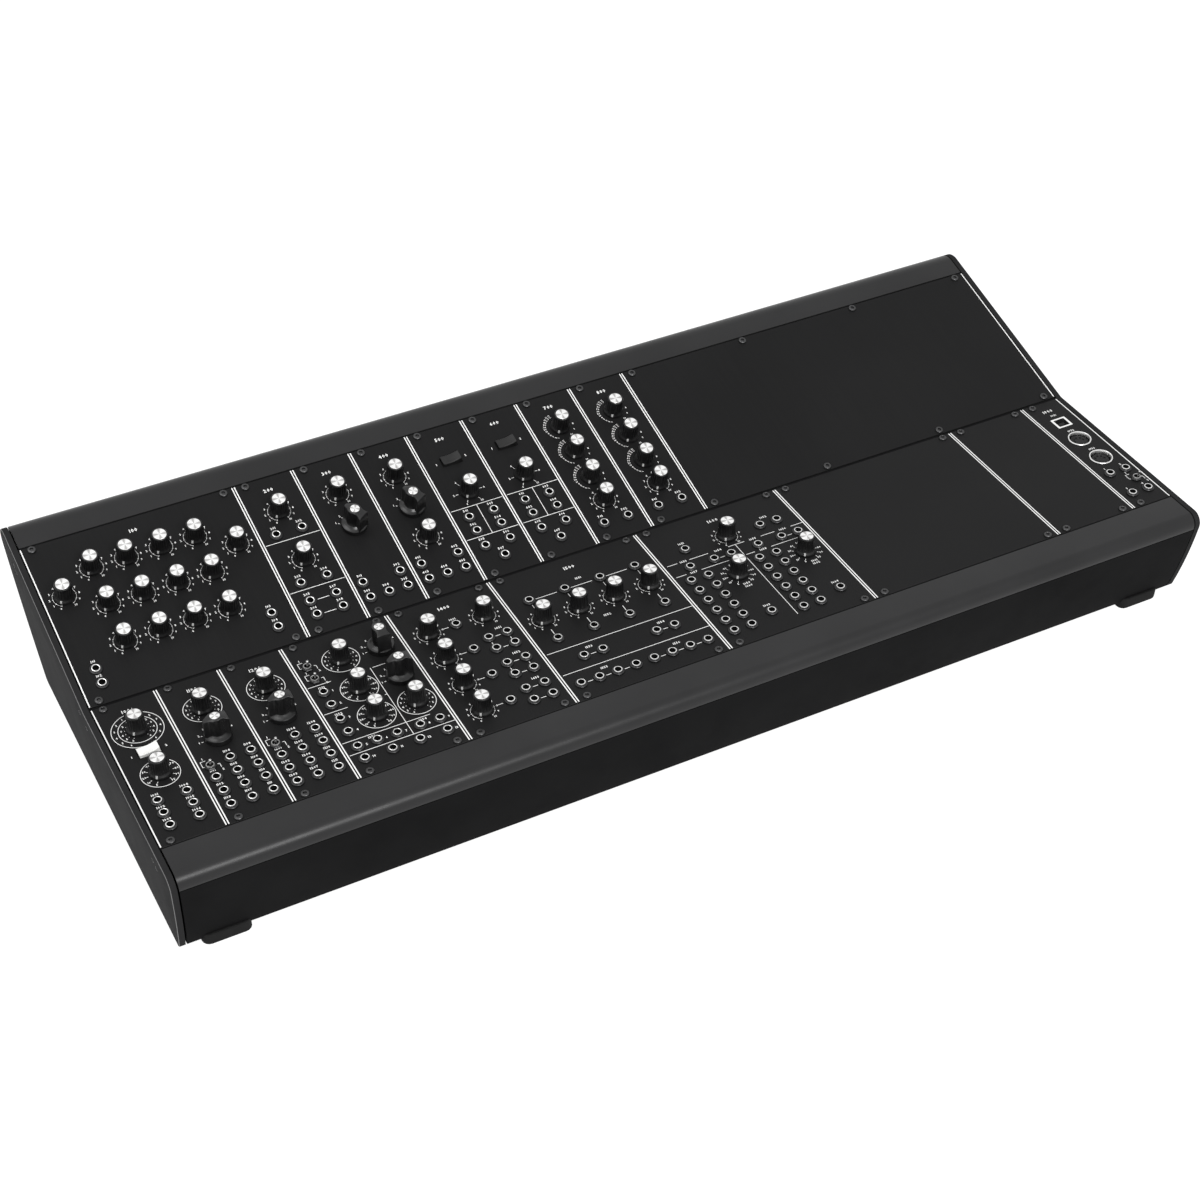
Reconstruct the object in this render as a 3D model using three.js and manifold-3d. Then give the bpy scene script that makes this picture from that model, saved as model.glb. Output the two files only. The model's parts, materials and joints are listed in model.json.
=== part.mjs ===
// A two-row desktop modular synthesizer: a kinked case of sheet metal and extrusions that holds
// sixteen modules and three blank panels, with the knobs, rockers and toggles that move.
// X runs along the rows, Y towards the back and Z up. The origin is under the middle of the feet.
import * as THREE from "three";
import { mergeVertices } from "three/addons/utils/BufferGeometryUtils.js";
import Module from "manifold-3d";

const wasm = await Module();
wasm.setup();

// Rack grid
const hp = 5.08;
const rowHp = 140;
const rowWidth = hp * rowHp;
const panelHeight = 128.5;
const panelThickness = 2;
const rowTilt = THREE.MathUtils.degToRad(15);
const kinkGap = 1.8;
const joinGap = 0.3;

// Case outline in side view
const bodyDepth = 66.8;
const noseReach = 28.4;
const noseRadius = 8;
const seamLand = 1.3;
const frontLean = 12;
const frontBow = 1.8;
const coverReach = 36.5;
const coverRadius = 13;
const rearSeamShare = 1.85;
const rearLean = 43.9;
const rearBow = 4.5;
const frontBottomRadius = 4;
const rearBottomRadius = 6;
const bowShares = [0.4, 0.7];

// Case walls
const cheekThickness = 4;
const cheekGap = 0.5;
const cheekEdgeRadius = 1.5;
const trayWall = 2;
const extrusionWall = 2.4;

// Mounting rail with its groove for the sliding nuts
const railLip = 9;
const railDepth = 9;
const railWeb = 2.4;
const railSlitAt = 3;
const railSlit = 3.2;
const railSkin = 2;
const railChannel = 5.6;
const railChannelDepth = 2.6;

// Feet
const footLength = 31;
const footDepth = 26;
const footHeight = 3.2;
const footWrap = 5;
const footProud = 1.6;
const footInset = 9.5;
const footRadius = 5;

// Module boards behind the panels
const boardThickness = 1.6;
const boardGap = 11;
const boardSideInset = 2;
const boardEndInset = 13;
const headerLength = 20;
const headerWidth = 9;
const headerHeight = 9;
const headerAtShare = 0.5;

// Jacks
const plugRadius = 1.75;
const plugClearance = 0.1;
const jackNutRadius = 4.2;
const jackNutHeight = 1.8;
const jackBoreDepth = 10;
const jackHousing = 9;
const lowestJackShare = 0.891;
const jackRailClearance = 0.5;

// Small knob and its shaft
const knobHeight = 13.2;
const knobSkirtRadius = 6.7;
const knobSkirtHeight = 1.8;
const knobSkirtTop = 3.2;
const knobBodyRadius = 5.7;
const knobTopRadius = 5.3;
const knobClearance = 0.4;
const shaftRadius = 3;
const shaftReach = 9;
const shaftClearance = 0.5;
const potHousing = 10;

// Winged selector knob
const wingHeight = 17.5;
const wingSkirtRadius = 8.6;
const wingSkirtHeight = 1.6;
const wingSkirtTop = 4;
const wingHubRadius = 5.8;
const wingReach = 8;
const wingTaperShare = 0.94;
// Half outline of the grip from the pointer's tip to the tail, as shares of its reach: across, along
const wingShares = [
  [0.16, 1],
  [0.3, 0.62],
  [0.54, 0.3],
  [0.54, -0.12],
  [0.42, -0.42],
  [0.53, -0.9],
];

// Rockers
const rockerLength = 13;
const rockerWidth = 7;
const rockerRise = 3.4;
const rockerDip = 1;
const rockerUnder = 1.2;
const rockerEndGap = 0.8;
const rockerPocket = 4;
const rockerHousingWall = 1.2;
const rockerRest = THREE.MathUtils.degToRad(-8);

// Toggles
const toggleNutRadius = 3.4;
const toggleCollar = 2.6;
const toggleBoreRadius = 2.3;
const toggleBoreDepth = 6;
const togglePivotDrop = 1;
const toggleBallRadius = 1.75;
const toggleNeckRadius = 0.8;
const toggleTipRadius = 1.3;
const toggleReach = 9;
const toggleTip = 3;
const toggleRest = THREE.MathUtils.degToRad(12);
const toggleHousing = 7;

// Sockets of the MIDI module
const dinRadius = 6.6;
const dinRimRadius = 8.2;
const dinRim = 0.8;
const dinDepth = 7;
const dinHousing = 19;
const usbLength = 8.5;
const usbWidth = 7.8;
const usbShell = 12;
const usbDepth = 7;

// Power entry in the back wall, and the bus board on the floor
const entryAlong = 60;
const entrySpacing = 30;
const entryFlange = 1.5;
const entryFlangeRim = 1.6;
const entryBoardLength = 62;
const entryBoardWidth = 22;
const entryDepth = 12;
const inletRadius = 5.5;
const inletNutRadius = 7.5;
const inletBoreRadius = 3.2;
const inletBoreDepth = 9;
const inletPinRadius = 1;
const busLength = 560;
const busWidth = 62;
const busStandoff = 6;
const busStandoffRadius = 4;
const busStandoffInset = 12;
const busSockets = 9;
const busRowShares = [0.25, 0.75];

// Facets
const knobSides = 7;
const jackSides = 6;
const boreSides = 4;
const toggleSides = 6;
const socketSides = 12;
const wingSides = 10;
const noseSteps = 5;
const coverSteps = 6;
const bottomSteps = 2;
const bevelSteps = 2;

// One named overrun lets a cut pass through the face that it opens
const overrun = 1;

// Modules. Knobs, winged knobs and jacks stand in straight runs of [x0, y0, x1, y1, count],
// with places as shares of the panel's width and of its height below the top edge. A winged knob
// adds the share of a full turn, counterclockwise from straight up, at which its pointer rests.
const layoutShares = [
  {
    name: "module_filter_bank", row: "upper", hp: 28,
    knobs: [
      [0.1, 0.3455, 0.9, 0.3455, 2], [0.261, 0.227, 0.741, 0.227, 4],
      [0.261, 0.462, 0.741, 0.462, 4], [0.261, 0.697, 0.741, 0.697, 4],
    ],
    turning: { 0: "knob_filter_bank_low" },
    jacks: [[0.096, 0.803, 0.096, 0.89, 2], [0.897, 0.803, 0.897, 0.89, 2]],
  },
  {
    name: "module_filters", row: "upper", hp: 8,
    knobs: [[0.5, 0.227, 0.5, 0.547, 2]],
    turning: { 0: "knob_filters_upper", 1: "knob_filters_lower" },
    jacks: [
      [0.278, 0.364, 0.715, 0.364, 2], [0.278, 0.685, 0.715, 0.685, 2],
      [0.278, 0.803, 0.278, 0.89, 2], [0.715, 0.803, 0.715, 0.89, 2],
    ],
  },
  {
    name: "module_high_pass_filter", row: "upper", hp: 8,
    knobs: [[0.5, 0.227, 0.5, 0.227, 1]],
    turning: { 0: "knob_high_pass" },
    wings: [["selector_high_pass", 0.5, 0.446, 1 / 12]],
    jacks: [[0.175, 0.793, 0.81, 0.793, 2], [0.175, 0.89, 0.81, 0.89, 3]],
  },
  {
    name: "module_low_pass_filter", row: "upper", hp: 8,
    knobs: [[0.5, 0.227, 0.5, 0.643, 2]],
    turning: { 0: "knob_low_pass_upper", 1: "knob_low_pass_lower" },
    wings: [["selector_low_pass", 0.5, 0.446, 1 / 12]],
    jacks: [[0.175, 0.793, 0.81, 0.793, 2], [0.175, 0.89, 0.81, 0.89, 3]],
  },
  {
    name: "module_amplifier_1", row: "upper", hp: 8,
    knobs: [[0.5, 0.451, 0.5, 0.451, 1]],
    turning: { 0: "knob_amplifier_1" },
    rockers: [["rocker_amplifier_1", 0.5, 0.229]],
    jacks: [
      [0.278, 0.608, 0.278, 0.701, 2], [0.715, 0.608, 0.715, 0.701, 2],
      [0.278, 0.803, 0.715, 0.803, 2], [0.495, 0.89, 0.495, 0.89, 1],
    ],
  },
  {
    name: "module_amplifier_2", row: "upper", hp: 8,
    knobs: [[0.5, 0.451, 0.5, 0.451, 1]],
    turning: { 0: "knob_amplifier_2" },
    rockers: [["rocker_amplifier_2", 0.5, 0.229]],
    jacks: [
      [0.278, 0.608, 0.278, 0.701, 2], [0.715, 0.608, 0.715, 0.701, 2],
      [0.278, 0.803, 0.715, 0.803, 2], [0.495, 0.89, 0.495, 0.89, 1],
    ],
  },
  {
    name: "module_envelope_1", row: "upper", hp: 8,
    knobs: [[0.5, 0.228, 0.5, 0.59, 3], [0.5, 0.753, 0.5, 0.753, 1]],
    turning: { 0: "knob_envelope_1_attack" },
    jacks: [[0.278, 0.89, 0.715, 0.89, 2]],
  },
  {
    name: "module_envelope_2", row: "upper", hp: 8,
    knobs: [[0.5, 0.228, 0.5, 0.59, 3], [0.5, 0.753, 0.5, 0.753, 1]],
    turning: { 0: "knob_envelope_2_attack" },
    jacks: [[0.278, 0.89, 0.715, 0.89, 2]],
  },
  { name: "blank_panel_upper", row: "upper", hp: 56 },
  {
    name: "module_oscillator_driver", row: "lower", hp: 8,
    knobs: [[0.5, 0.226, 0.5, 0.549, 2]],
    turning: { 0: "knob_driver_frequency", 1: "knob_driver_width" },
    rockers: [["rocker_driver_range", 0.5, 0.389]],
    jacks: [[0.278, 0.719, 0.278, 0.89, 3], [0.715, 0.719, 0.715, 0.89, 3]],
  },
  {
    name: "module_oscillator_1", row: "lower", hp: 8,
    knobs: [[0.5, 0.227, 0.5, 0.227, 1]],
    turning: { 0: "knob_oscillator_1" },
    wings: [["selector_oscillator_1", 0.5, 0.446, 1 / 4]],
    toggles: [["toggle_oscillator_1", 0.182, 0.618]],
    jacks: [
      [0.182, 0.698, 0.182, 0.89, 3], [0.502, 0.603, 0.502, 0.89, 4], [0.82, 0.603, 0.82, 0.89, 4],
    ],
  },
  {
    name: "module_oscillator_2", row: "lower", hp: 8,
    knobs: [[0.5, 0.227, 0.5, 0.227, 1]],
    turning: { 0: "knob_oscillator_2" },
    wings: [["selector_oscillator_2", 0.5, 0.446, 1 / 4]],
    toggles: [["toggle_oscillator_2", 0.182, 0.618]],
    jacks: [
      [0.182, 0.698, 0.182, 0.89, 3], [0.502, 0.603, 0.502, 0.89, 4], [0.82, 0.603, 0.82, 0.89, 4],
    ],
  },
  {
    name: "module_voltage_oscillator", row: "lower", hp: 14,
    knobs: [
      [0.423, 0.203, 0.423, 0.203, 1], [0.423, 0.434, 0.423, 0.434, 1],
      [0.423, 0.642, 0.793, 0.642, 2],
    ],
    turning: { 0: "knob_voltage_oscillator_pitch" },
    wings: [
      ["selector_voltage_oscillator_range", 0.793, 0.214, 0],
      ["selector_voltage_oscillator_wave", 0.793, 0.448, 1 / 4],
    ],
    toggles: [
      ["toggle_voltage_oscillator_upper", 0.121, 0.192],
      ["toggle_voltage_oscillator_lower", 0.121, 0.288],
    ],
    jacks: [
      [0.128, 0.39, 0.128, 0.487, 2], [0.128, 0.596, 0.128, 0.693, 2],
      [0.128, 0.804, 0.486, 0.804, 3], [0.697, 0.804, 0.876, 0.804, 2],
      [0.128, 0.891, 0.877, 0.891, 4],
    ],
  },
  {
    name: "module_mixer", row: "lower", hp: 14,
    knobs: [[0.239, 0.2265, 0.239, 0.842, 4], [0.775, 0.2265, 0.775, 0.2265, 1]],
    turning: { 0: "knob_mixer_channel_1" },
    jacks: [
      [0.503, 0.2265, 0.503, 0.842, 4],
      [0.682, 0.39, 0.682, 0.479, 2], [0.861, 0.39, 0.861, 0.479, 2],
      [0.682, 0.597, 0.682, 0.685, 2], [0.861, 0.597, 0.861, 0.685, 2],
      [0.682, 0.802, 0.682, 0.891, 2], [0.861, 0.802, 0.861, 0.891, 2],
    ],
  },
  {
    name: "module_attenuators", row: "lower", hp: 21,
    knobs: [[0.146, 0.387, 0.858, 0.387, 4]],
    turning: { 0: "knob_attenuator_1" },
    jacks: [
      [0.146, 0.228, 0.858, 0.228, 4], [0.146, 0.547, 0.858, 0.547, 4],
      [0.211, 0.719, 0.334, 0.719, 2], [0.689, 0.719, 0.808, 0.719, 2],
      [0.087, 0.89, 0.918, 0.89, 8],
    ],
  },
  {
    name: "module_interface", row: "lower", hp: 21,
    knobs: [[0.5, 0.227, 0.5, 0.227, 1], [0.38, 0.52, 0.853, 0.52, 2]],
    turning: { 0: "knob_interface_level" },
    jacks: [
      [0.207, 0.229, 0.207, 0.229, 1], [0.737, 0.229, 0.857, 0.229, 2],
      [0.153, 0.364, 0.153, 0.364, 1], [0.32, 0.364, 0.439, 0.364, 2],
      [0.629, 0.364, 0.629, 0.364, 1], [0.796, 0.364, 0.915, 0.364, 2],
      [0.0945, 0.462, 0.0945, 0.89, 6], [0.213, 0.462, 0.213, 0.89, 6],
      [0.57, 0.462, 0.57, 0.89, 6], [0.689, 0.462, 0.689, 0.89, 6],
      [0.38, 0.847, 0.38, 0.847, 1], [0.858, 0.847, 0.858, 0.847, 1],
    ],
  },
  { name: "blank_panel_lower_wide", row: "lower", hp: 28 },
  { name: "blank_panel_lower_narrow", row: "lower", hp: 12 },
  {
    name: "module_midi", row: "lower", hp: 6,
    toggles: [["toggle_midi", 0.71, 0.797]],
    sockets: { usb: [0.53, 0.2], din: [[0.51, 0.368], [0.51, 0.556]] },
    jacks: [[0.302, 0.7, 0.727, 0.7, 2], [0.302, 0.891, 0.727, 0.891, 2]],
  },
];

// Finishes
const finishes = {
  case: { color: 0x2b2b2c, roughness: 0.55, metalness: 0.3 },
  panel: { color: 0x1c1c1d, roughness: 0.5, metalness: 0.2 },
  knob: { color: 0x0d0d0d, roughness: 0.45, metalness: 0 },
  rocker: { color: 0xf2f2f0, roughness: 0.4, metalness: 0 },
  toggle: { color: 0xb8b8ba, roughness: 0.3, metalness: 0.9 },
  board: { color: 0x1f4a2c, roughness: 0.6, metalness: 0 },
};

// Solids
function solid(geometry) {
  geometry.deleteAttribute("normal");
  geometry.deleteAttribute("uv");
  const merged = mergeVertices(geometry);
  return new wasm.Manifold(new wasm.Mesh({
    numProp: 3,
    vertProperties: new Float32Array(merged.attributes.position.array),
    triVerts: new Uint32Array(merged.index.array),
  }));
}

function meshOf(name, body, finish) {
  const data = body.getMesh();
  const geometry = new THREE.BufferGeometry();
  geometry.setAttribute("position", new THREE.BufferAttribute(data.vertProperties, data.numProp));
  geometry.setIndex(new THREE.BufferAttribute(data.triVerts, 1));
  geometry.computeVertexNormals();
  const mesh = new THREE.Mesh(geometry, new THREE.MeshStandardMaterial({ ...finishes[finish] }));
  mesh.name = name;
  return mesh;
}

function unite(bodies) {
  return wasm.Manifold.union(bodies);
}

// A box between two corners
function block([x0, y0, z0], [x1, y1, z1]) {
  const geometry = new THREE.BoxGeometry(x1 - x0, y1 - y0, z1 - z0);
  geometry.translate((x0 + x1) / 2, (y0 + y1) / 2, (z0 + z1) / 2);
  return solid(geometry);
}

// An upright prism with its axis on Z
function prism(radius, bottom, top, sides) {
  const geometry = new THREE.CylinderGeometry(radius, radius, top - bottom, sides);
  geometry.rotateX(Math.PI / 2);
  geometry.translate(0, 0, (bottom + top) / 2);
  return solid(geometry);
}

// A body turned about Z from [radius, height] points that run up from the axis and back to it
function turned(profile, sides) {
  const points = profile.map(([radius, height]) => new THREE.Vector2(radius, height));
  const geometry = new THREE.LatheGeometry(points, sides);
  geometry.rotateX(Math.PI / 2);
  return solid(geometry);
}

// An outline drawn in X and Y, raised from bottom to top along Z
function raised(points, bottom, top) {
  const shape = new THREE.Shape(points.map(([x, y]) => new THREE.Vector2(x, y)));
  const geometry = new THREE.ExtrudeGeometry(shape, { depth: top - bottom, bevelEnabled: false });
  geometry.translate(0, 0, bottom);
  return solid(geometry);
}

// Turns what was drawn in X and Y and raised along Z into a side-view section swept along X
const sideways = new THREE.Matrix4().makeBasis(
  new THREE.Vector3(0, 1, 0), new THREE.Vector3(0, 0, 1), new THREE.Vector3(1, 0, 0),
);

// A closed [y, z] section swept along X
function swept(section, from, to) {
  const shape = new THREE.Shape(section.map(([y, z]) => new THREE.Vector2(y, z)));
  const geometry = new THREE.ExtrudeGeometry(shape, { depth: to - from, bevelEnabled: false });
  geometry.translate(0, 0, from);
  geometry.applyMatrix4(sideways);
  return solid(geometry);
}

// Corner points [y, z, radius, steps] become a path in which each corner with a radius is an arc
function filleted(corners) {
  const path = [];
  corners.forEach(([y, z, radius, steps], i) => {
    if (!radius) {
      path.push([y, z]);
      return;
    }
    const corner = new THREE.Vector2(y, z);
    const before = new THREE.Vector2(...corners.at(i - 1).slice(0, 2)).sub(corner).normalize();
    const after = new THREE.Vector2(...corners[(i + 1) % corners.length].slice(0, 2)).sub(corner).normalize();
    const half = Math.acos(before.dot(after)) / 2;
    const middle = before.clone().add(after).normalize();
    const centre = corner.clone().addScaledVector(middle, radius / Math.sin(half));
    const start = corner.clone().addScaledVector(before, radius / Math.tan(half)).sub(centre);
    const turn = Math.sign(before.cross(after)) * (Math.PI - 2 * half);
    for (let k = 0; k <= steps; k += 1) {
      const spoke = start.clone().rotateAround(new THREE.Vector2(), (-turn * k) / steps);
      path.push([centre.x + spoke.x, centre.y + spoke.y]);
    }
  });
  return path;
}

// The same open path moved sideways, to its left as it runs, by a distance
function offsetPath(path, distance) {
  const normal = (a, b) => new THREE.Vector2(a[1] - b[1], b[0] - a[0]).normalize();
  return path.map((point, i) => {
    const incoming = i ? normal(path[i - 1], point) : normal(point, path[1]);
    const outgoing = i < path.length - 1 ? normal(point, path[i + 1]) : incoming;
    const mitre = incoming.clone().add(outgoing).normalize();
    const reach = distance / mitre.dot(incoming);
    return [point[0] + mitre.x * reach, point[1] + mitre.y * reach];
  });
}

// A sheet of even thickness that follows a path, inside it
function sheet(path, thickness) {
  return [...path, ...offsetPath(path, thickness).reverse()];
}

// Side view of the case: lower row level at z = 0 with its back edge at y = 0, upper row behind it
const upperAlong = new THREE.Vector2(Math.cos(rowTilt), Math.sin(rowTilt));
const upperNormal = new THREE.Vector2(-upperAlong.y, upperAlong.x);
const onUpper = (along, lift = 0) => [
  upperAlong.x * along + upperNormal.x * lift, upperAlong.y * along + upperNormal.y * lift,
];
const upperEnd = kinkGap + panelHeight;
const [backCornerY, backCornerZ] = onUpper(upperEnd + coverReach);
const frontCornerY = -(panelHeight + noseReach);

function frontPoint(share) {
  const bow = 4 * frontBow * share * (1 - share);
  return [frontCornerY + frontLean * share - bow, -bodyDepth * share];
}

function backPoint(share) {
  const bow = 4 * rearBow * share * (1 - share);
  return [
    backCornerY - rearLean * share + bow,
    backCornerZ - (backCornerZ + bodyDepth) * share,
  ];
}

const frontSeamShare = (noseRadius + seamLand) / bodyDepth;
const backSeamShare = (rearSeamShare * coverRadius) / (backCornerZ + bodyDepth);
const noseCorner = [frontCornerY, 0, noseRadius, noseSteps];
const coverCorner = [backCornerY, backCornerZ, coverRadius, coverSteps];
const frontBows = bowShares.map((share) => frontPoint(share));
const backBows = bowShares.map((share) => backPoint(share)).reverse();
const bottomCorners = [
  [...frontPoint(1), frontBottomRadius, bottomSteps], [...backPoint(1), rearBottomRadius, bottomSteps],
];

// Cheeks: the whole side outline, with the outer edge rounded and the inner edge sharp
const cheekOutline = filleted([
  [0, 0], noseCorner, frontPoint(frontSeamShare), ...frontBows, ...bottomCorners,
  ...backBows, backPoint(backSeamShare), coverCorner,
]);

function cheekBody() {
  const shape = new THREE.Shape(cheekOutline.map(([y, z]) => new THREE.Vector2(y, z)));
  const geometry = new THREE.ExtrudeGeometry(shape, {
    depth: cheekThickness - cheekEdgeRadius,
    bevelThickness: cheekEdgeRadius,
    bevelSize: cheekEdgeRadius,
    bevelOffset: -cheekEdgeRadius,
    bevelSegments: bevelSteps,
  });
  geometry.applyMatrix4(sideways);
  const innerEdge = block(
    [-cheekThickness, 2 * frontCornerY, -2 * bodyDepth], [0, 2 * backCornerY, 2 * backCornerZ],
  );
  return solid(geometry).subtract(innerEdge);
}

// Extrusions and tray lie between the cheeks
const spanStart = -(cheekGap - joinGap);
const spanEnd = rowWidth + cheekGap - joinGap;

// Rail section in panel terms: u runs in from the panel's edge, w is the height over its back
function railSection(place) {
  const slitLow = railSlitAt - railSlit / 2;
  const slitHigh = railSlitAt + railSlit / 2;
  const channelLow = railSlitAt - railChannel / 2;
  const channelHigh = railSlitAt + railChannel / 2;
  const channelFloor = -(railSkin + railChannelDepth);
  const points = [
    [-railWeb, 0], [slitLow, 0], [slitLow, -railSkin], [channelLow, -railSkin],
    [channelLow, channelFloor], [channelHigh, channelFloor], [channelHigh, -railSkin],
    [slitHigh, -railSkin], [slitHigh, 0], [railLip, 0], [railLip, -railDepth],
    [-railWeb, -railDepth],
  ];
  return points.map(([u, w]) => place(u, w - panelThickness - joinGap));
}

function counterClockwise(section) {
  const shape = section.map(([y, z]) => new THREE.Vector2(y, z));
  return THREE.ShapeUtils.isClockWise(shape) ? [...section].reverse() : section;
}

const rail = (place) => swept(counterClockwise(railSection(place)), spanStart, spanEnd);
const frontRail = rail((u, w) => [-panelHeight + u, w]);
const lowerInnerRail = rail((u, w) => [-u, w]);
const upperInnerRail = rail((u, w) => onUpper(kinkGap + u, w));
const backRail = rail((u, w) => onUpper(upperEnd - u, w));

function extrusion(corners, railBody) {
  const skin = swept(counterClockwise(sheet(filleted(corners), extrusionWall)), spanStart, spanEnd);
  return skin.add(railBody);
}

// Nose: the arm rest in front of the lower row, one piece with the front rail
const noseStart = [-(panelHeight + joinGap), 0];
const noseRoot = [noseStart[0], -(panelThickness + joinGap + railDepth)];
const noseBody = extrusion([noseRoot, noseStart, noseCorner, frontPoint(frontSeamShare)], frontRail);

// Cover: the strip behind the upper row, rounded over to the back, one piece with the back rail
const coverStart = onUpper(upperEnd + joinGap);
const coverRoot = onUpper(upperEnd + joinGap, -(panelThickness + joinGap + railDepth));
const coverBody = extrusion([backPoint(backSeamShare), coverCorner, coverStart, coverRoot], backRail);

// Middle rail: the two inner rails meet under the kink
const middleRailBody = lowerInnerRail.add(upperInnerRail);

// Tray: front wall, floor and back wall bent from one sheet, with its feet
function below([y, z], corner) {
  const away = new THREE.Vector2(corner[0] - y, corner[1] - z).setLength(joinGap);
  return [y + away.x, z + away.y];
}
const trayPath = filleted([
  below(frontPoint(frontSeamShare), frontBows[0]), ...frontBows, ...bottomCorners,
  ...backBows, below(backPoint(backSeamShare), backBows.at(-1)),
]);

function footBody(x, front, top) {
  const outline = filleted([
    [x, front, footRadius, bottomSteps], [x + footLength, front, footRadius, bottomSteps],
    [x + footLength, front + footDepth, footRadius, bottomSteps],
    [x, front + footDepth, footRadius, bottomSteps],
  ]);
  return raised(outline, -(bodyDepth + footHeight), top);
}

const frontFootTop = -(bodyDepth - footWrap);
const frontFootFace = frontPoint(1 - footWrap / bodyDepth)[0] - footProud;
const backFootFace = backPoint(1)[0] - rearBottomRadius - footDepth;
const footPlaces = [footInset, rowWidth - footInset - footLength];
const feet = footPlaces.flatMap((x) => [
  footBody(x, frontFootFace, frontFootTop), footBody(x, backFootFace, -(bodyDepth - trayWall / 2)),
]);
const trayInside = swept(counterClockwise([
  ...offsetPath(trayPath, trayWall),
]), spanStart - overrun, spanEnd + overrun);
const traySheet = swept(counterClockwise(sheet(trayPath, trayWall)), spanStart, spanEnd);

// Power entry: seated flat on the straight stretch of the back wall between its two bow points
const [entryLow, entryHigh] = backBows;
const entryAngle = Math.atan2(entryHigh[0] - entryLow[0], entryHigh[1] - entryLow[1]);
const entryFrame = new THREE.Group();
entryFrame.position.set(entryAlong, (entryLow[0] + entryHigh[0]) / 2, (entryLow[1] + entryHigh[1]) / 2);
entryFrame.rotation.x = -(Math.PI / 2 + entryAngle);
entryFrame.updateMatrix();

const inPocket = rockerLength / 2 + rockerEndGap;
const acrossPocket = rockerWidth / 2 + joinGap;
function rockerPocketBody(x, y) {
  return block(
    [x - inPocket, y - acrossPocket, -rockerPocket], [x + inPocket, y + acrossPocket, overrun + entryFlange],
  );
}
function rockerHousingBody(x, y, bottom, top) {
  const wall = rockerHousingWall;
  return block(
    [x - inPocket - wall, y - acrossPocket - wall, bottom],
    [x + inPocket + wall, y + acrossPocket + wall, top],
  );
}

function entryBody() {
  const wallBack = -(trayWall + entryDepth);
  const board = block(
    [-entryBoardLength / 2, -entryBoardWidth / 2, wallBack - boardThickness],
    [entryBoardLength / 2, entryBoardWidth / 2, wallBack],
  );
  const flange = block(
    [entrySpacing / 2 - inPocket - rockerHousingWall - entryFlangeRim,
      -(acrossPocket + rockerHousingWall + entryFlangeRim), joinGap],
    [entrySpacing / 2 + inPocket + rockerHousingWall + entryFlangeRim,
      acrossPocket + rockerHousingWall + entryFlangeRim, entryFlange],
  );
  const switchHousing = rockerHousingBody(entrySpacing / 2, 0, wallBack - boardThickness / 2, entryFlange);
  const barrel = prism(inletRadius, wallBack - boardThickness / 2, entryFlange, socketSides);
  const nut = prism(inletNutRadius, joinGap, entryFlange, jackSides);
  const bore = prism(inletBoreRadius, entryFlange - inletBoreDepth, entryFlange + overrun, socketSides);
  const pin = prism(inletPinRadius, entryFlange - inletBoreDepth - overrun, 0, jackSides);
  const inlet = unite([barrel, nut]).subtract(bore).add(pin).translate([-entrySpacing / 2, 0, 0]);
  return unite([board, flange, switchHousing, inlet]).subtract(rockerPocketBody(entrySpacing / 2, 0));
}

function entryCuts() {
  const hole = prism(inletRadius + joinGap, -2 * trayWall, 2 * trayWall, socketSides);
  const wall = rockerHousingWall + joinGap;
  const slot = block(
    [entrySpacing / 2 - inPocket - wall, -acrossPocket - wall, -2 * trayWall],
    [entrySpacing / 2 + inPocket + wall, acrossPocket + wall, 2 * trayWall],
  );
  return hole.translate([-entrySpacing / 2, 0, 0]).add(slot).transform(entryFrame.matrix.toArray());
}

const trayBody = unite([traySheet, ...feet.map((foot) => foot.subtract(trayInside))]).subtract(entryCuts());

// Bus board: on four standoffs over the floor, with two rows of sockets for the module cables
function busBody() {
  const floor = -(bodyDepth - trayWall - joinGap);
  const top = floor + busStandoff;
  const front = -panelHeight / 2;
  const left = (rowWidth - busLength) / 2;
  const parts = [block([left, front, top], [left + busLength, front + busWidth, top + boardThickness])];
  for (const x of [left + busStandoffInset, left + busLength - busStandoffInset]) {
    for (const y of [front + busStandoffInset, front + busWidth - busStandoffInset]) {
      parts.push(prism(busStandoffRadius, floor, top + boardThickness / 2, jackSides).translate([x, y, 0]));
    }
  }
  const pitch = busLength / busSockets;
  for (const share of busRowShares) {
    for (let i = 0; i < busSockets; i += 1) {
      const x = left + pitch * (i + 1 / 2);
      const y = front + busWidth * share;
      parts.push(block(
        [x - headerLength / 2, y - headerWidth / 2, top + boardThickness / 2],
        [x + headerLength / 2, y + headerWidth / 2, top + boardThickness + headerHeight],
      ));
    }
  }
  return unite(parts);
}

// Jointed small knob: skirt, tapered body and the shaft that runs down into the control
const knobBody = turned([
  [0, -shaftReach], [shaftRadius, -shaftReach], [shaftRadius, knobClearance],
  [knobSkirtRadius, knobClearance], [knobSkirtRadius, knobSkirtHeight],
  [knobBodyRadius, knobSkirtTop], [knobTopRadius, knobHeight], [0, knobHeight],
], knobSides);

// The same knob seated on its panel
const seatedKnobBody = turned([
  [0, -panelThickness / 2], [knobSkirtRadius, -panelThickness / 2],
  [knobSkirtRadius, knobSkirtHeight], [knobBodyRadius, knobSkirtTop],
  [knobTopRadius, knobHeight], [0, knobHeight],
], knobSides);

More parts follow.
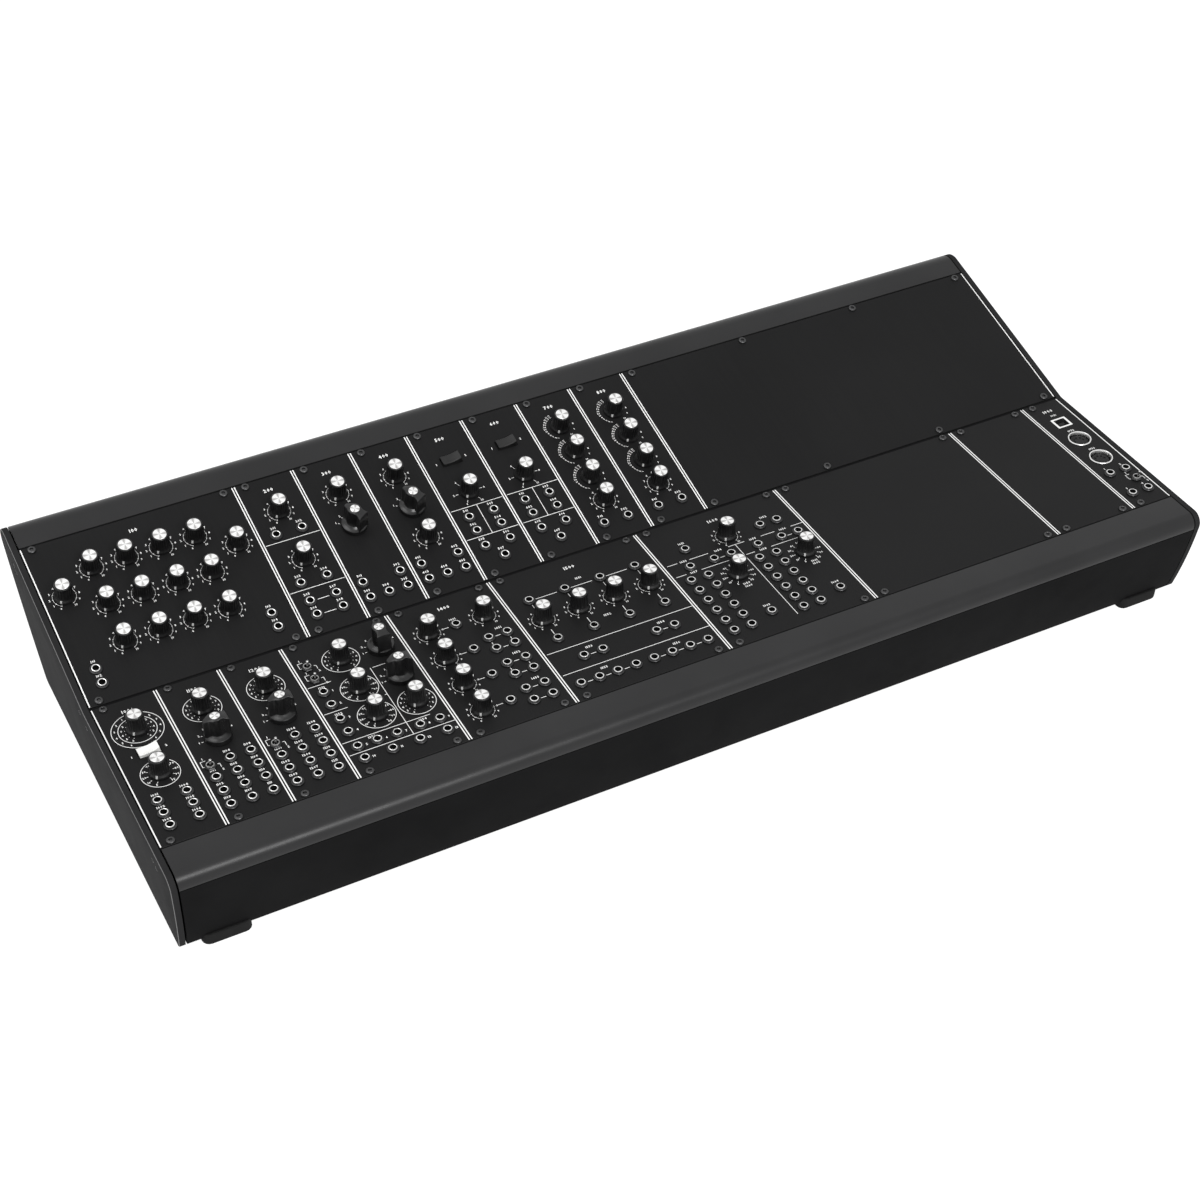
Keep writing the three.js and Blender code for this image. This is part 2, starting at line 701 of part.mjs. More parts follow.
// Winged selector knob: skirt, shaft and a grip with a pointer at one end and a flared tail
function winged() {
  const half = wingShares.map(([across, along]) => [across * wingReach, along * wingReach]);
  const outline = [...half.map(([x, y]) => [-x, y]), ...half.reverse()];
  const grip = raised(outline, 0, 1);
  const rise = wingHeight - wingSkirtHeight;
  const tapered = grip.warp((vertex) => {
    const share = vertex[2] > 0 ? wingTaperShare : 1;
    vertex[0] *= share;
    vertex[1] *= share;
    vertex[2] = wingSkirtHeight + rise * vertex[2];
  });
  const skirt = turned([
    [0, -shaftReach], [shaftRadius, -shaftReach], [shaftRadius, knobClearance],
    [wingSkirtRadius, knobClearance], [wingSkirtRadius, wingSkirtHeight],
    [wingHubRadius, wingSkirtTop], [0, wingSkirtTop],
  ], wingSides);
  return skirt.add(tapered);
}

const selectorBody = winged();

// Rocker cap, hinged at the height of the panel's face about the line across it
function rockerBody() {
  const half = rockerLength / 2;
  const section = [
    [-half, -rockerUnder], [half, -rockerUnder], [half, rockerRise], [0, rockerRise - rockerDip],
    [-half, rockerRise],
  ];
  const upright = raised(section, -rockerWidth / 2, rockerWidth / 2);
  return upright.rotate([90, 0, 0]);
}

// Toggle lever about its ball
const toggleBody = turned([
  [0, -toggleBallRadius], [toggleBallRadius, -toggleBallRadius / 3],
  [toggleBallRadius, toggleBallRadius / 3], [toggleNeckRadius, toggleBallRadius],
  [toggleTipRadius, toggleReach - toggleTip], [toggleTipRadius, toggleReach], [0, toggleReach],
], toggleSides);

// Modules
const upperRow = new THREE.Group();
const [upperTopY, upperTopZ] = onUpper(upperEnd);
upperRow.position.set(0, upperTopY, upperTopZ);
upperRow.rotation.x = rowTilt;
const lowerRow = new THREE.Group();

// A run of places becomes a list of [x, y] in panel millimetres
function placesOf([x0, y0, x1, y1, count], width) {
  return Array.from({ length: count }, (_, i) => {
    const share = count > 1 ? i / (count - 1) : 0;
    return [THREE.MathUtils.lerp(x0, x1, share) * width, -THREE.MathUtils.lerp(y0, y1, share) * panelHeight];
  });
}

const panelMiddle = -panelThickness / 2;
const jackNut = prism(jackNutRadius, panelMiddle, jackNutHeight, jackSides);
const jackBoreRadius = (plugRadius + plugClearance) / Math.cos(Math.PI / boreSides);
const jackBore = prism(jackBoreRadius, -jackBoreDepth, jackNutHeight + overrun, boreSides);
// Below the lowest jacks, their housings end short of the rail
const jackHousingReach = panelHeight * (1 - lowestJackShare) - railLip - jackRailClearance;
const shaftHole = prism(shaftRadius + shaftClearance, -(shaftReach + shaftClearance), overrun, knobSides);
const toggleNut = prism(toggleNutRadius, panelMiddle, toggleCollar, jackSides);
const toggleBore = prism(toggleBoreRadius, -toggleBoreDepth, toggleCollar + overrun, toggleSides);
const dinRimBody = prism(dinRimRadius, panelMiddle, dinRim, socketSides);
const dinBore = prism(dinRadius, -dinDepth, dinRim + overrun, socketSides);

function moduleParts(module) {
  const width = module.hp * hp;
  const back = -panelThickness;
  const boardTop = back - boardGap;
  const added = [block([joinGap / 2, -panelHeight, back], [width - joinGap / 2, 0, 0])];
  const cuts = [];
  const moving = [];
  const pitch = { jack: jackHousing / 2, pot: potHousing / 2, toggle: toggleHousing / 2 };
  const housing = (xs, ys, half, reach = half) => added.push(block(
    [Math.min(...xs) - half, Math.min(...ys) - reach, boardTop - boardThickness / 2],
    [Math.max(...xs) + half, Math.max(...ys) + reach, back / 2],
  ));
  const spots = { knob: (module.knobs ?? []).flatMap((run) => placesOf(run, width)) };
  const place = ([name, x, y, turn]) => [name, x * width, -y * panelHeight, turn];

  if (module.jacks) {
    added.push(block(
      [boardSideInset, -(panelHeight - boardEndInset), boardTop - boardThickness],
      [width - boardSideInset, -boardEndInset, boardTop],
    ));
    const x = width / 2;
    const y = -panelHeight * headerAtShare;
    added.push(block(
      [x - headerWidth / 2, y - headerLength / 2, boardTop - boardThickness - headerHeight],
      [x + headerWidth / 2, y + headerLength / 2, boardTop - boardThickness / 2],
    ));
  }
  for (const run of module.jacks ?? []) {
    const places = placesOf(run, width);
    housing(places.map(([x]) => x), places.map(([, y]) => y), pitch.jack, jackHousingReach);
    for (const [x, y] of places) {
      added.push(jackNut.translate([x, y, 0]));
      cuts.push(jackBore.translate([x, y, 0]));
    }
  }
  spots.knob.forEach(([x, y], i) => {
    const name = module.turning?.[i];
    if (name === undefined) {
      added.push(seatedKnobBody.translate([x, y, 0]));
      return;
    }
    housing([x], [y], pitch.pot);
    cuts.push(shaftHole.translate([x, y, 0]));
    moving.push({ name, body: knobBody, finish: "knob", at: [x, y, 0] });
  });
  for (const [name, x, y, turn] of (module.wings ?? []).map(place)) {
    housing([x], [y], pitch.pot);
    cuts.push(shaftHole.translate([x, y, 0]));
    const rest = [0, 0, 2 * Math.PI * turn];
    moving.push({ name, body: selectorBody, finish: "knob", at: [x, y, 0], turn: rest });
  }
  for (const [name, x, y] of (module.rockers ?? []).map(place)) {
    added.push(rockerHousingBody(x, y, boardTop - boardThickness / 2, back / 2));
    cuts.push(rockerPocketBody(x, y));
    moving.push({ name, body: rockerBody(), finish: "rocker", at: [x, y, 0], turn: [0, rockerRest, 0] });
  }
  for (const [name, x, y] of (module.toggles ?? []).map(place)) {
    housing([x], [y], pitch.toggle);
    added.push(toggleNut.translate([x, y, 0]));
    cuts.push(toggleBore.translate([x, y, 0]));
    const rest = [toggleRest, 0, 0];
    moving.push({ name, body: toggleBody, finish: "toggle", at: [x, y, -togglePivotDrop], turn: rest });
  }
  for (const [xShare, yShare] of module.sockets?.din ?? []) {
    const [x, y] = [xShare * width, -yShare * panelHeight];
    housing([x], [y], dinHousing / 2);
    added.push(dinRimBody.translate([x, y, 0]));
    cuts.push(dinBore.translate([x, y, 0]));
  }
  if (module.sockets) {
    const [x, y] = [module.sockets.usb[0] * width, -module.sockets.usb[1] * panelHeight];
    housing([x], [y], usbShell / 2);
    cuts.push(block(
      [x - usbLength / 2, y - usbWidth / 2, -usbDepth], [x + usbLength / 2, y + usbWidth / 2, overrun],
    ));
  }
  const united = unite(added);
  return { body: cuts.length ? united.subtract(unite(cuts)) : united, moving };
}

// Assembly
const model = new THREE.Group();
const caseGroup = new THREE.Group();
const leftCheek = meshOf("left_cheek", cheekBody().mirror([1, 0, 0]), "case");
leftCheek.position.x = -cheekGap;
const rightCheek = meshOf("right_cheek", cheekBody(), "case");
rightCheek.position.x = rowWidth + cheekGap;
caseGroup.add(
  leftCheek, rightCheek,
  meshOf("base_tray", trayBody, "case"),
  meshOf("front_nose", noseBody, "case"),
  meshOf("rear_cover", coverBody, "case"),
  meshOf("middle_rail", middleRailBody, "case"),
  meshOf("bus_board", busBody(), "board"),
);
entryFrame.add(meshOf("power_entry", entryBody(), "knob"));
const powerRocker = meshOf("power_rocker", rockerBody(), "knob");
powerRocker.position.x = entrySpacing / 2;
powerRocker.rotation.y = rockerRest;
entryFrame.add(powerRocker);
caseGroup.add(entryFrame, upperRow, lowerRow);

const filled = { upper: 0, lower: 0 };
for (const module of layoutShares) {
  const frame = new THREE.Group();
  frame.position.x = filled[module.row] * hp;
  filled[module.row] += module.hp;
  const { body, moving } = moduleParts(module);
  frame.add(meshOf(module.name, body, "panel"));
  for (const { name, body: shape, finish, at, turn } of moving) {
    const mesh = meshOf(name, shape, finish);
    mesh.position.set(...at);
    mesh.rotation.set(...(turn ?? [0, 0, 0]));
    frame.add(mesh);
  }
  (module.row === "upper" ? upperRow : lowerRow).add(frame);
}

// The origin goes under the middle of the object, on the surface that it stands on
model.add(caseGroup);
model.updateMatrixWorld(true);
const extent = new THREE.Box3().setFromObject(model, true);
const middle = extent.getCenter(new THREE.Vector3());
caseGroup.position.set(-middle.x, -middle.y, -extent.min.z);

export default model;
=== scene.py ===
"""The looks of a two-row desktop modular synthesizer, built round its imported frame.

Sizes are in millimetres unless a name says otherwise. Each row of panels has its own frame: x runs
to the right from the row's left edge, y runs up from the row's top edge, so panels lie at negative
y, and z stands out of the panels.
"""

import json
import logging
import math
from collections.abc import Callable, Iterable, Sequence
from dataclasses import dataclass, field
from enum import Enum
from typing import Any

import bmesh
import bpy
import numpy as np
from mathutils import Matrix, Vector
from mathutils.geometry import delaunay_2d_cdt

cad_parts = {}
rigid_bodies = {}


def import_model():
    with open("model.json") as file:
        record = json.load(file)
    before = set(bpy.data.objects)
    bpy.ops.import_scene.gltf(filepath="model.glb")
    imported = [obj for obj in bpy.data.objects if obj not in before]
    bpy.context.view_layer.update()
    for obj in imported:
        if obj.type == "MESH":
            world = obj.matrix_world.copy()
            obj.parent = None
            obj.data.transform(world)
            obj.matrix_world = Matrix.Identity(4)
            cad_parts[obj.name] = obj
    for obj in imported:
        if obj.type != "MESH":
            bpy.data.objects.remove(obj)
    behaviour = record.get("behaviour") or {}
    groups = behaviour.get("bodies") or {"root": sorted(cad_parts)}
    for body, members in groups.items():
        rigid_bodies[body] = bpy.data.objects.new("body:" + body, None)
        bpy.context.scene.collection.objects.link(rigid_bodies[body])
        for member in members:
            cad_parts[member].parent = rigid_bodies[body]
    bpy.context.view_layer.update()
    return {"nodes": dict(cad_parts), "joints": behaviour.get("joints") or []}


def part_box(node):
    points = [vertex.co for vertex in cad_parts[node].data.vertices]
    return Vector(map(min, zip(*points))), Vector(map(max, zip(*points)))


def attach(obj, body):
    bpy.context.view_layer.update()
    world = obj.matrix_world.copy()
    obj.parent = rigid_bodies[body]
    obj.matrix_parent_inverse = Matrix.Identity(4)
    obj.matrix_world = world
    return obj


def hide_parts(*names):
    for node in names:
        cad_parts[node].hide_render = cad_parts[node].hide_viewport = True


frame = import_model()
LOG = logging.getLogger("synthesizer")

MM = 0.001
HP = 5.08
PANEL_HEIGHT = 128.5
PANEL_THICKNESS = 2.0
JOIN_GAP = 0.3
ROW_TILT = math.radians(15)
KINK_GAP = 1.8
ROW_WIDTH = 140 * HP
UPPER_END = KINK_GAP + PANEL_HEIGHT
SHARPEST_MITRE = 0.35
INK_HEIGHT = 0.05
INK_LIFT = 0.03
ROCKER_REST = math.radians(-8)
TOGGLE_REST = math.radians(12)
KNOB_REST = math.radians(145)
SELECTOR_STEP_DEG = 30

Point = tuple[float, float]
Place = tuple[float, float, float]
Stroke = tuple[float, float, float, float]
Run = tuple[float, float, float, float, int]
Reach = Callable[[float, float, float], float]


class Surface(Enum):
    """The names of the record's material slots."""

    CHEEK = "cheek"
    TRAY = "tray"
    EXTRUSION = "extrusion"
    BOARD = "board"
    SOCKET = "socket_plastic"
    PANEL = "panel"
    KNOB = "knob_plastic"
    BLACK = "black_plastic"
    WHITE = "white_plastic"
    TOGGLE = "toggle_metal"


# Node trees and shader maths


class Tree:
    """A node tree that is built by code."""

    tree: bpy.types.NodeTree

    def node(self, kind: str, values: dict | None = None, **settings: Any) -> bpy.types.Node:
        """Adds a node.

        Args:
            kind: The node's type.
            values: Its sockets by name or number, as levels, sockets or plain values.
            settings: Its own properties, set first.

        Returns:
            The node.
        """
        made = self.tree.nodes.new(kind)
        for name, value in settings.items():
            setattr(made, name, value)
        for key, value in (values or {}).items():
            socket = made.inputs[key]
            value = getattr(value, "socket", value)
            if isinstance(value, bpy.types.NodeSocket):
                self.tree.links.new(value, socket)
            else:
                socket.default_value = (*value, 1.0) if socket.type == "RGBA" and len(value) == 3 else value
        return made


def maths(operation: str, swapped: bool = False) -> Callable[..., "Level"]:
    """Returns a method of Level that adds one Math node.

    Args:
        operation: The Math node's operation.
        swapped: True to put the level last, for a reflected operator.

    Returns:
        The method. It takes other levels or numbers and returns the node's result.
    """

    def method(level: "Level", *others: Any) -> "Level":
        """Returns the node's result."""
        values = (*others, level) if swapped else (level, *others)
        return level.shader.level("ShaderNodeMath", dict(enumerate(values)), operation=operation)

    return method


@dataclass
class Level:
    """A shader socket that takes part in sums written in Python."""

    shader: "Shader"
    socket: bpy.types.NodeSocket

    __add__ = __radd__ = maths("ADD")
    __rsub__ = maths("SUBTRACT", swapped=True)
    __mul__ = __rmul__ = maths("MULTIPLY")
    __pow__ = maths("POWER")
    above = maths("GREATER_THAN")
    larger = maths("MAXIMUM")
    absolute = maths("ABSOLUTE")
    sine = maths("SINE")
    angle_from = maths("ARCTAN2")

    def between(self, low: float, high: float) -> "Level":
        """Returns this level, stretched from low..high to 0..1 and held there."""
        values = {"Value": self, "From Min": low, "From Max": high}
        return self.shader.level("ShaderNodeMapRange", values, clamp=True)


class Shader(Tree):
    """A material, or a world, and the nodes that it is made of."""

    def __init__(self, name: str, world: bool = False) -> None:
        """Starts an empty material, or an empty world."""
        self.material = (bpy.data.worlds if world else bpy.data.materials).new(name)
        self.material.use_nodes = True
        self.tree = self.material.node_tree
        self.tree.nodes.clear()

    def level(self, kind: str, values: dict | None = None, output: int | str = 0, **settings: Any) -> Level:
        """Adds a node and returns one of its outputs for sums."""
        return Level(self, self.node(kind, values, **settings).outputs[output])

    def place(self) -> Level:
        """Returns the place on the object, in metres."""
        return self.level("ShaderNodeTexCoord", output="Object")

    def parts(self, vector: Any) -> tuple[Level, ...]:
        """Returns the x, y and z of a vector."""
        split = self.node("ShaderNodeSeparateXYZ", {0: vector})
        return tuple(Level(self, socket) for socket in split.outputs)

    def seen(self) -> Level:
        """Returns 1 on rays from the camera, off gloss or through glass."""
        path = self.node("ShaderNodeLightPath")
        names = ("Is Camera Ray", "Is Glossy Ray", "Is Transmission Ray")
        camera, gloss, glass = (Level(self, path.outputs[name]) for name in names)
        return camera.larger(gloss).larger(glass)

    def noise(self, scale: float, detail: float = 2.0, vector: Any = None, roughness: float = 0.5) -> Level:
        """Returns noise from 0 to 1 at a scale per metre."""
        values = {"Vector": vector or self.place(), "Scale": scale, "Detail": detail, "Roughness": roughness}
        return self.level("ShaderNodeTexNoise", values)

    def blend(self, factor: Any, first: Any, second: Any) -> Level:
        """Returns a mix of two colours by a factor."""
        return self.level("ShaderNodeMix", {0: factor, 6: first, 7: second}, 2, data_type="RGBA")

    def relief(self, height: Level, depth: float, strength: float) -> Level:
        """Returns the normal of a surface with a height over it, as deep as depth in metres."""
        values = {"Strength": strength, "Distance": depth, "Height": height}
        return self.level("ShaderNodeBump", values, "Normal")

    def finish(self, **values: Any) -> bpy.types.Material:
        """Ends the material in one Principled shader.

        Args:
            values: The shader's sockets, with underscores for spaces.

        Returns:
            The finished material.
        """
        named = {name.replace("_", " "): value for name, value in values.items()}
        surface = self.level("ShaderNodeBsdfPrincipled", named)
        self.node("ShaderNodeOutputMaterial", {"Surface": surface})
        return self.material


def lifted(colour: Place, gain: float, lift: float = 0.0) -> Place:
    """Returns a colour times a gain, with a lift added, held at white."""
    return tuple(min(1.0, part * gain + lift) for part in colour)


@dataclass(frozen=True)
class PowderCoat:
    """Charcoal powder coat on sheet metal and extrusions: fine orange peel and faint handling marks."""

    name: str
    colour: Place
    roughness: float
    grain_m: float = 0.00045
    gloss: float = 0.2

    def make(self) -> bpy.types.Material:
        """Returns the coat's material."""
        shader = Shader(self.name)
        cloud = shader.noise(14.0, 3.0)
        peel = shader.noise(1.0 / self.grain_m)
        smear = shader.noise(45.0, 4.0, roughness=0.7).between(0.45, 0.75)
        return shader.finish(
            Base_Color=shader.blend(cloud.between(0.3, 0.7), self.colour, lifted(self.colour, 1.22, 0.002)),
            Roughness=self.roughness + smear * 0.07 + peel * 0.05,
            Specular_IOR_Level=self.gloss,
            Normal=shader.relief(peel, 0.00003, 0.35),
        )


@dataclass(frozen=True)
class PanelCoat:
    """Near-black coat of the module panels, finely grained, over metal brushed from top to bottom."""

    name: str
    colour: Place
    roughness: float
    gloss: float
    brushing_per_m: Place = (900.0, 14.0, 14.0)

    def make(self) -> bpy.types.Material:
        """Returns the coat's material."""
        shader = Shader(self.name)
        grain = shader.noise(5200.0)
        cloud = shader.noise(9.0, 3.0).between(0.3, 0.7)
        brushed = shader.level("ShaderNodeMapping", {"Vector": shader.place(), "Scale": self.brushing_per_m})
        streak = shader.noise(1.0, 3.0, vector=brushed).between(0.35, 0.7)
        return shader.finish(
            Base_Color=shader.blend(cloud * 0.6 + streak * 0.4, self.colour, lifted(self.colour, 1.35, 0.001)),
            Roughness=self.roughness + grain * 0.1 + streak * 0.06,
            Specular_IOR_Level=self.gloss,
            Normal=shader.relief(grain, 0.000015, 0.4),
        )


@dataclass(frozen=True)
class Ink:
    """White screen print, with a little wear."""

    name: str = "white_print"

    def make(self) -> bpy.types.Material:
        """Returns the print's material."""
        shader = Shader(self.name)
        wear = shader.noise(900.0, 3.0).between(0.25, 0.6)
        return shader.finish(
            Base_Color=shader.blend(wear, (0.78, 0.78, 0.77), (0.92, 0.92, 0.91)),
            Roughness=0.5 + wear * 0.15,
            Specular_IOR_Level=0.3,
        )


@dataclass(frozen=True)
class Moulding:
    """Moulded plastic with a fine spark-eroded grain."""

    name: str
    colour: Place
    roughness: float
    grain_m: float = 0.0003
    gloss: float = 0.3

    def make(self) -> bpy.types.Material:
        """Returns the plastic's material."""
        shader = Shader(self.name)
        grain = shader.noise(1.0 / self.grain_m)
        patch = shader.noise(160.0).between(0.35, 0.7)
        return shader.finish(
            Base_Color=shader.blend(patch, self.colour, lifted(self.colour, 1.12, 0.003)),
            Roughness=self.roughness + grain * 0.1 + patch * 0.05,
            Specular_IOR_Level=self.gloss,
            Normal=shader.relief(grain, 0.00002, 0.3),
        )


@dataclass(frozen=True)
class SpunDisc:
    """Spun aluminium with fine turning rings, whose colour carries a painted reflection: four thin dark wedges of
    painted shade between painted highlight.
    """

    name: str = "spun_aluminium"
    # The two colours below are the dark and the light ends of the disc's painted reflection.
    shade: Place = (0.3, 0.29, 0.285)
    light: Place = (0.93, 0.93, 0.925)
    rings_per_m: float = 5200.0

    def make(self) -> bpy.types.Material:
        """Returns the disc's material."""
        shader = Shader(self.name)
        x, y, _ = shader.parts(shader.level("ShaderNodeAttribute", output="Vector", attribute_name="spot"))
        angle = y.angle_from(x)
        rings = ((x * x + y * y) ** 0.5 * self.rings_per_m).sine() * 0.5 + 0.5
        # Four dark wedges round the disc, fixed to it: painted shade standing for the reflection that spun metal
        # throws.
        painted_dark_wedge = (angle * 2.0 + 0.6).sine().absolute() ** 4.0
        sway = {0: (angle * 2.0).sine() * 3.0, 1: (angle + 0.9).sine() * 3.0}
        streak = shader.noise(2.2, 3.0, vector=shader.level("ShaderNodeCombineXYZ", sway))
        # The painted highlight: bright, less the painted shade of the wedges, with swayed streaks; it sets the colour
        # and lowers the roughness.
        bright = (1.0 - painted_dark_wedge * 0.85 + streak * 0.35).between(0.15, 1.1)
        return shader.finish(
            Base_Color=shader.blend(bright, self.shade, self.light),
            Metallic=0.9,
            Roughness=0.4 - bright * 0.14 + rings * 0.05,
            Normal=shader.relief(rings, 0.00001, 0.25),
        )


@dataclass(frozen=True)
class Plating:
    """Bright or dark plating over turned metal."""

    name: str
    colour: Place
    roughness: float

    def make(self) -> bpy.types.Material:
        """Returns the plating's material."""
        shader = Shader(self.name)
        haze = shader.noise(700.0, 3.0).between(0.3, 0.75)
        return shader.finish(
            Base_Color=shader.blend(haze, self.colour, lifted(self.colour, 0.82)),
            Metallic=1.0,
            Roughness=self.roughness + haze * 0.12,
            Normal=shader.relief(shader.noise(3000.0, 1.0), 0.00001, 0.2),
        )


@dataclass(frozen=True)
class Laminate:
    """Green circuit board with faint copper lanes."""

    name: str = "circuit_laminate"
    lanes_per_m: float = 1900.0

    def make(self) -> bpy.types.Material:
        """Returns the board's material."""
        shader = Shader(self.name)
        lane = (shader.parts(shader.place())[0] * self.lanes_per_m).sine().above(0.55)
        weave = shader.noise(1500.0)
        return shader.finish(
            Base_Color=shader.blend(lane * weave, (0.01, 0.06, 0.025), (0.03, 0.13, 0.05)),
            Roughness=0.35 + weave * 0.2,
            Normal=shader.relief(lane, 0.00003, 0.4),
        )


class Coat:
    """A finish, made once, and the record's slot that it goes under."""

    def __init__(self, surface: Surface, kind: Any) -> None:
        """Makes the finish's material."""
        self.surface = surface
        self.material = kind.make()


class Finishes:
    """Every finish of the object."""

    def __init__(self) -> None:
        """Makes the finishes."""
        self.cheek = Coat(Surface.CHEEK, PowderCoat("cheek_coat", (0.0175, 0.0175, 0.018), 0.75, gloss=0.05))
        # A light coat for the strip along the cheeks' rounded edge: a painted highlight, not wear.
        self.edge = Coat(Surface.CHEEK, PowderCoat("worn_edge", (0.13, 0.13, 0.131), 0.4, gloss=0.4))
        # The tray's coat is the nose's powder coat, darkened as painted shade of the front wall.
        self.tray = Coat(Surface.TRAY, PowderCoat("tray_coat", (0.0058, 0.0058, 0.006), 0.58, gloss=0.02))
        self.extrusion = Coat(
            Surface.EXTRUSION, PowderCoat("extrusion_coat", (0.0155, 0.0155, 0.016), 0.3, 0.0003),
        )
        self.panel = Coat(Surface.PANEL, PanelCoat("panel_coat", (0.0068, 0.0068, 0.007), 0.45, 0.09))
        self.ink = Coat(Surface.PANEL, Ink())
        self.knob = Coat(Surface.KNOB, Moulding("knob_plastic", (0.004, 0.004, 0.0042), 0.28, gloss=0.32))
        self.grip = Coat(Surface.KNOB, Moulding("selector_plastic", (0.005, 0.005, 0.0052), 0.24, gloss=0.42))
        self.black = Coat(Surface.BLACK, Moulding("black_plastic", (0.008, 0.008, 0.008), 0.38))
        self.face = Coat(Surface.SOCKET, Moulding("socket_face", (0.013, 0.013, 0.0133), 0.5, gloss=0.15))
        self.mark = Coat(Surface.WHITE, Moulding("pointer_inlay", (0.36, 0.36, 0.355), 0.45))
        self.white = Coat(Surface.WHITE, Moulding("white_plastic", (0.82, 0.82, 0.8), 0.35))
        self.disc = Coat(Surface.TOGGLE, SpunDisc())
        self.nickel = Coat(Surface.TOGGLE, Plating("bright_nickel", (0.86, 0.86, 0.85), 0.2))
        self.grey_nickel = Coat(Surface.TOGGLE, Plating("grey_nickel", (0.46, 0.46, 0.455), 0.24))
        self.dark_nickel = Coat(Surface.TOGGLE, Plating("dark_nickel", (0.05, 0.05, 0.051), 0.34))
        self.steel = Coat(Surface.PANEL, Plating("blackened_steel", (0.075, 0.075, 0.076), 0.34))
        self.pit = Coat(Surface.SOCKET, Moulding("socket_well", (0.002, 0.002, 0.002), 0.7, gloss=0.1))
        self.board = Coat(Surface.BOARD, Laminate())
        self.foot = Coat(Surface.TRAY, Moulding("foot_rubber", (0.008, 0.008, 0.008), 0.75, 0.0006, 0.15))


# Mesh making


@dataclass
class Body:
    """Vertices and faces that grow solid by solid."""

    points: list[Place] = field(default_factory=list)
    faces: list[tuple[int, ...]] = field(default_factory=list)

    def add(self, points: Iterable[Sequence[float]], faces: Iterable[Sequence[int]]) -> None:
        """Adds a solid's vertices and faces."""
        start = len(self.points)
        self.points.extend(tuple(float(v) for v in p) for p in points)
        self.faces.extend(tuple(i + start for i in face) for face in faces)

    def merge(self, other: "Body", matrix: Matrix | None = None) -> None:
        """Adds another body, moved by a matrix."""
        moved = other.points if matrix is None else [tuple(matrix @ Vector(p)) for p in other.points]
        self.add(moved, other.faces)

    def stack(self, rings: Sequence[Sequence[Place]], closed: bool = True, looped: bool = False) -> None:
        """Adds a solid skinned over rings of equal length.

        Args:
            rings: The rings, each a loop of points. All turn the same way.
            closed: True to cap both ends.
            looped: True to join the last ring to the first instead.
        """
        count, total = len(rings[0]), len(rings)
        faces = []
        for k in range(total if looped else total - 1):
            low, high = k * count, (k + 1) % total * count
            faces += [(low + i, low + j, high + j, high + i) for i, j in pairs(range(count))]
        if closed and not looped:
            faces.append(tuple(range(count - 1, -1, -1)))
            faces.append(tuple(range((total - 1) * count, total * count)))
        self.add([p for ring in rings for p in ring], faces)

    def skin(self, levels: Iterable[tuple[Sequence[Point], float]], looped: bool = False) -> None:
        """Adds a solid skinned over flat outlines, each at its own height."""
        self.stack([[(x, y, z) for x, y in outline] for outline, z in levels], looped=looped)

    def block(self, corners: tuple[Point, Point], bottom: float, top: float) -> None:
        """Adds a box on a rectangle between two corners."""
        outline = box(*corners)
        self.skin([(outline, bottom), (outline, top)])

    def lathe(
        self, profile: Sequence[Point], steps: int, centre: Point = (0.0, 0.0), reach: Reach | None = None,
    ) -> None:
        """Adds a solid of revolution about an upright axis.

        Args:
            profile: Radius and height from the bottom up and over. One that starts and ends on the axis
                is closed there, and any other is a ring, closed on itself.
            steps: Points round the axis.
            centre: Where the axis stands.
            reach: Changes a radius, from the radius, the height and the angle.
        """
        angles = [math.tau * i / steps for i in range(steps)]
        rings = []
        for radius, height in profile:
            if radius:
                radii = [reach(radius, height, angle) if reach else radius for angle in angles]
                rings.append([(*polar(centre, r, a), height) for r, a in zip(radii, angles)])
        start = len(self.points)
        self.stack(rings, closed=False, looped=profile[0][0] > 0)
        if profile[0][0] > 0:
            return
        last = start + (len(rings) - 1) * steps
        tip = len(self.points)
        self.points += [(*centre, profile[0][1]), (*centre, profile[-1][1])]
        self.faces += [(start + j, start + i, tip) for i, j in pairs(range(steps))]
        self.faces += [(last + i, last + j, tip + 1) for i, j in pairs(range(steps))]


def turned(profile: Sequence[Point], steps: int, reach: Reach | None = None) -> Body:
    """Returns a solid of revolution about the upright axis."""
    body = Body()
    body.lathe(profile, steps, reach=reach)
    return body


def pairs(loop: Sequence[Any]) -> Iterable[tuple[Any, Any]]:
    """Returns each item of a loop with the one after it."""
    return zip(loop, [*loop[1:], *loop[:1]])


def polar(centre: Point, radius: float, angle: float) -> Point:
    """Returns the place at a radius and an angle from a centre."""
    return centre[0] + radius * math.cos(angle), centre[1] + radius * math.sin(angle)


def inset(outline: Sequence[Point], distance: float) -> list[Point]:
    """Returns a counterclockwise outline drawn in by a distance, with mitred corners."""
    moved = []
    for i, (x, y) in enumerate(outline):
        ax, ay = outline[i - 1]
        bx, by = outline[(i + 1) % len(outline)]
        n1 = Vector((ay - y, x - ax)).normalized()
        n2 = Vector((y - by, bx - x)).normalized()
        mid = (n1 + n2).normalized()
        reach = distance / max(SHARPEST_MITRE, mid.dot(n1))
        moved.append((x + mid.x * reach, y + mid.y * reach))
    return moved


def circle(radius: float, steps: int, centre: Point = (0.0, 0.0)) -> list[Point]:
    """Returns the points of a circle."""
    return [polar(centre, radius, math.tau * i / steps) for i in range(steps)]


def box(low: Point, high: Point) -> list[Point]:
    """Returns a rectangle, counterclockwise."""
    (x0, y0), (x1, y1) = low, high
    return [(x0, y0), (x1, y0), (x1, y1), (x0, y1)]


def about(centre: Point, half: Point) -> tuple[Point, Point]:
    """Returns the lower and upper corner of a rectangle about a centre."""
    (x, y), (a, b) = centre, half
    return (x - a, y - b), (x + a, y + b)


def mirrored(centre: Point, right: Sequence[Point]) -> list[Point]:
    """Returns an outline about a centre from its right half, which is given from the bottom up."""
    x0, y0 = centre
    left = [(x0 - x, y0 + y) for x, y in right]
    return [left[0], *((x0 + x, y0 + y) for x, y in right), *reversed(left[1:])]


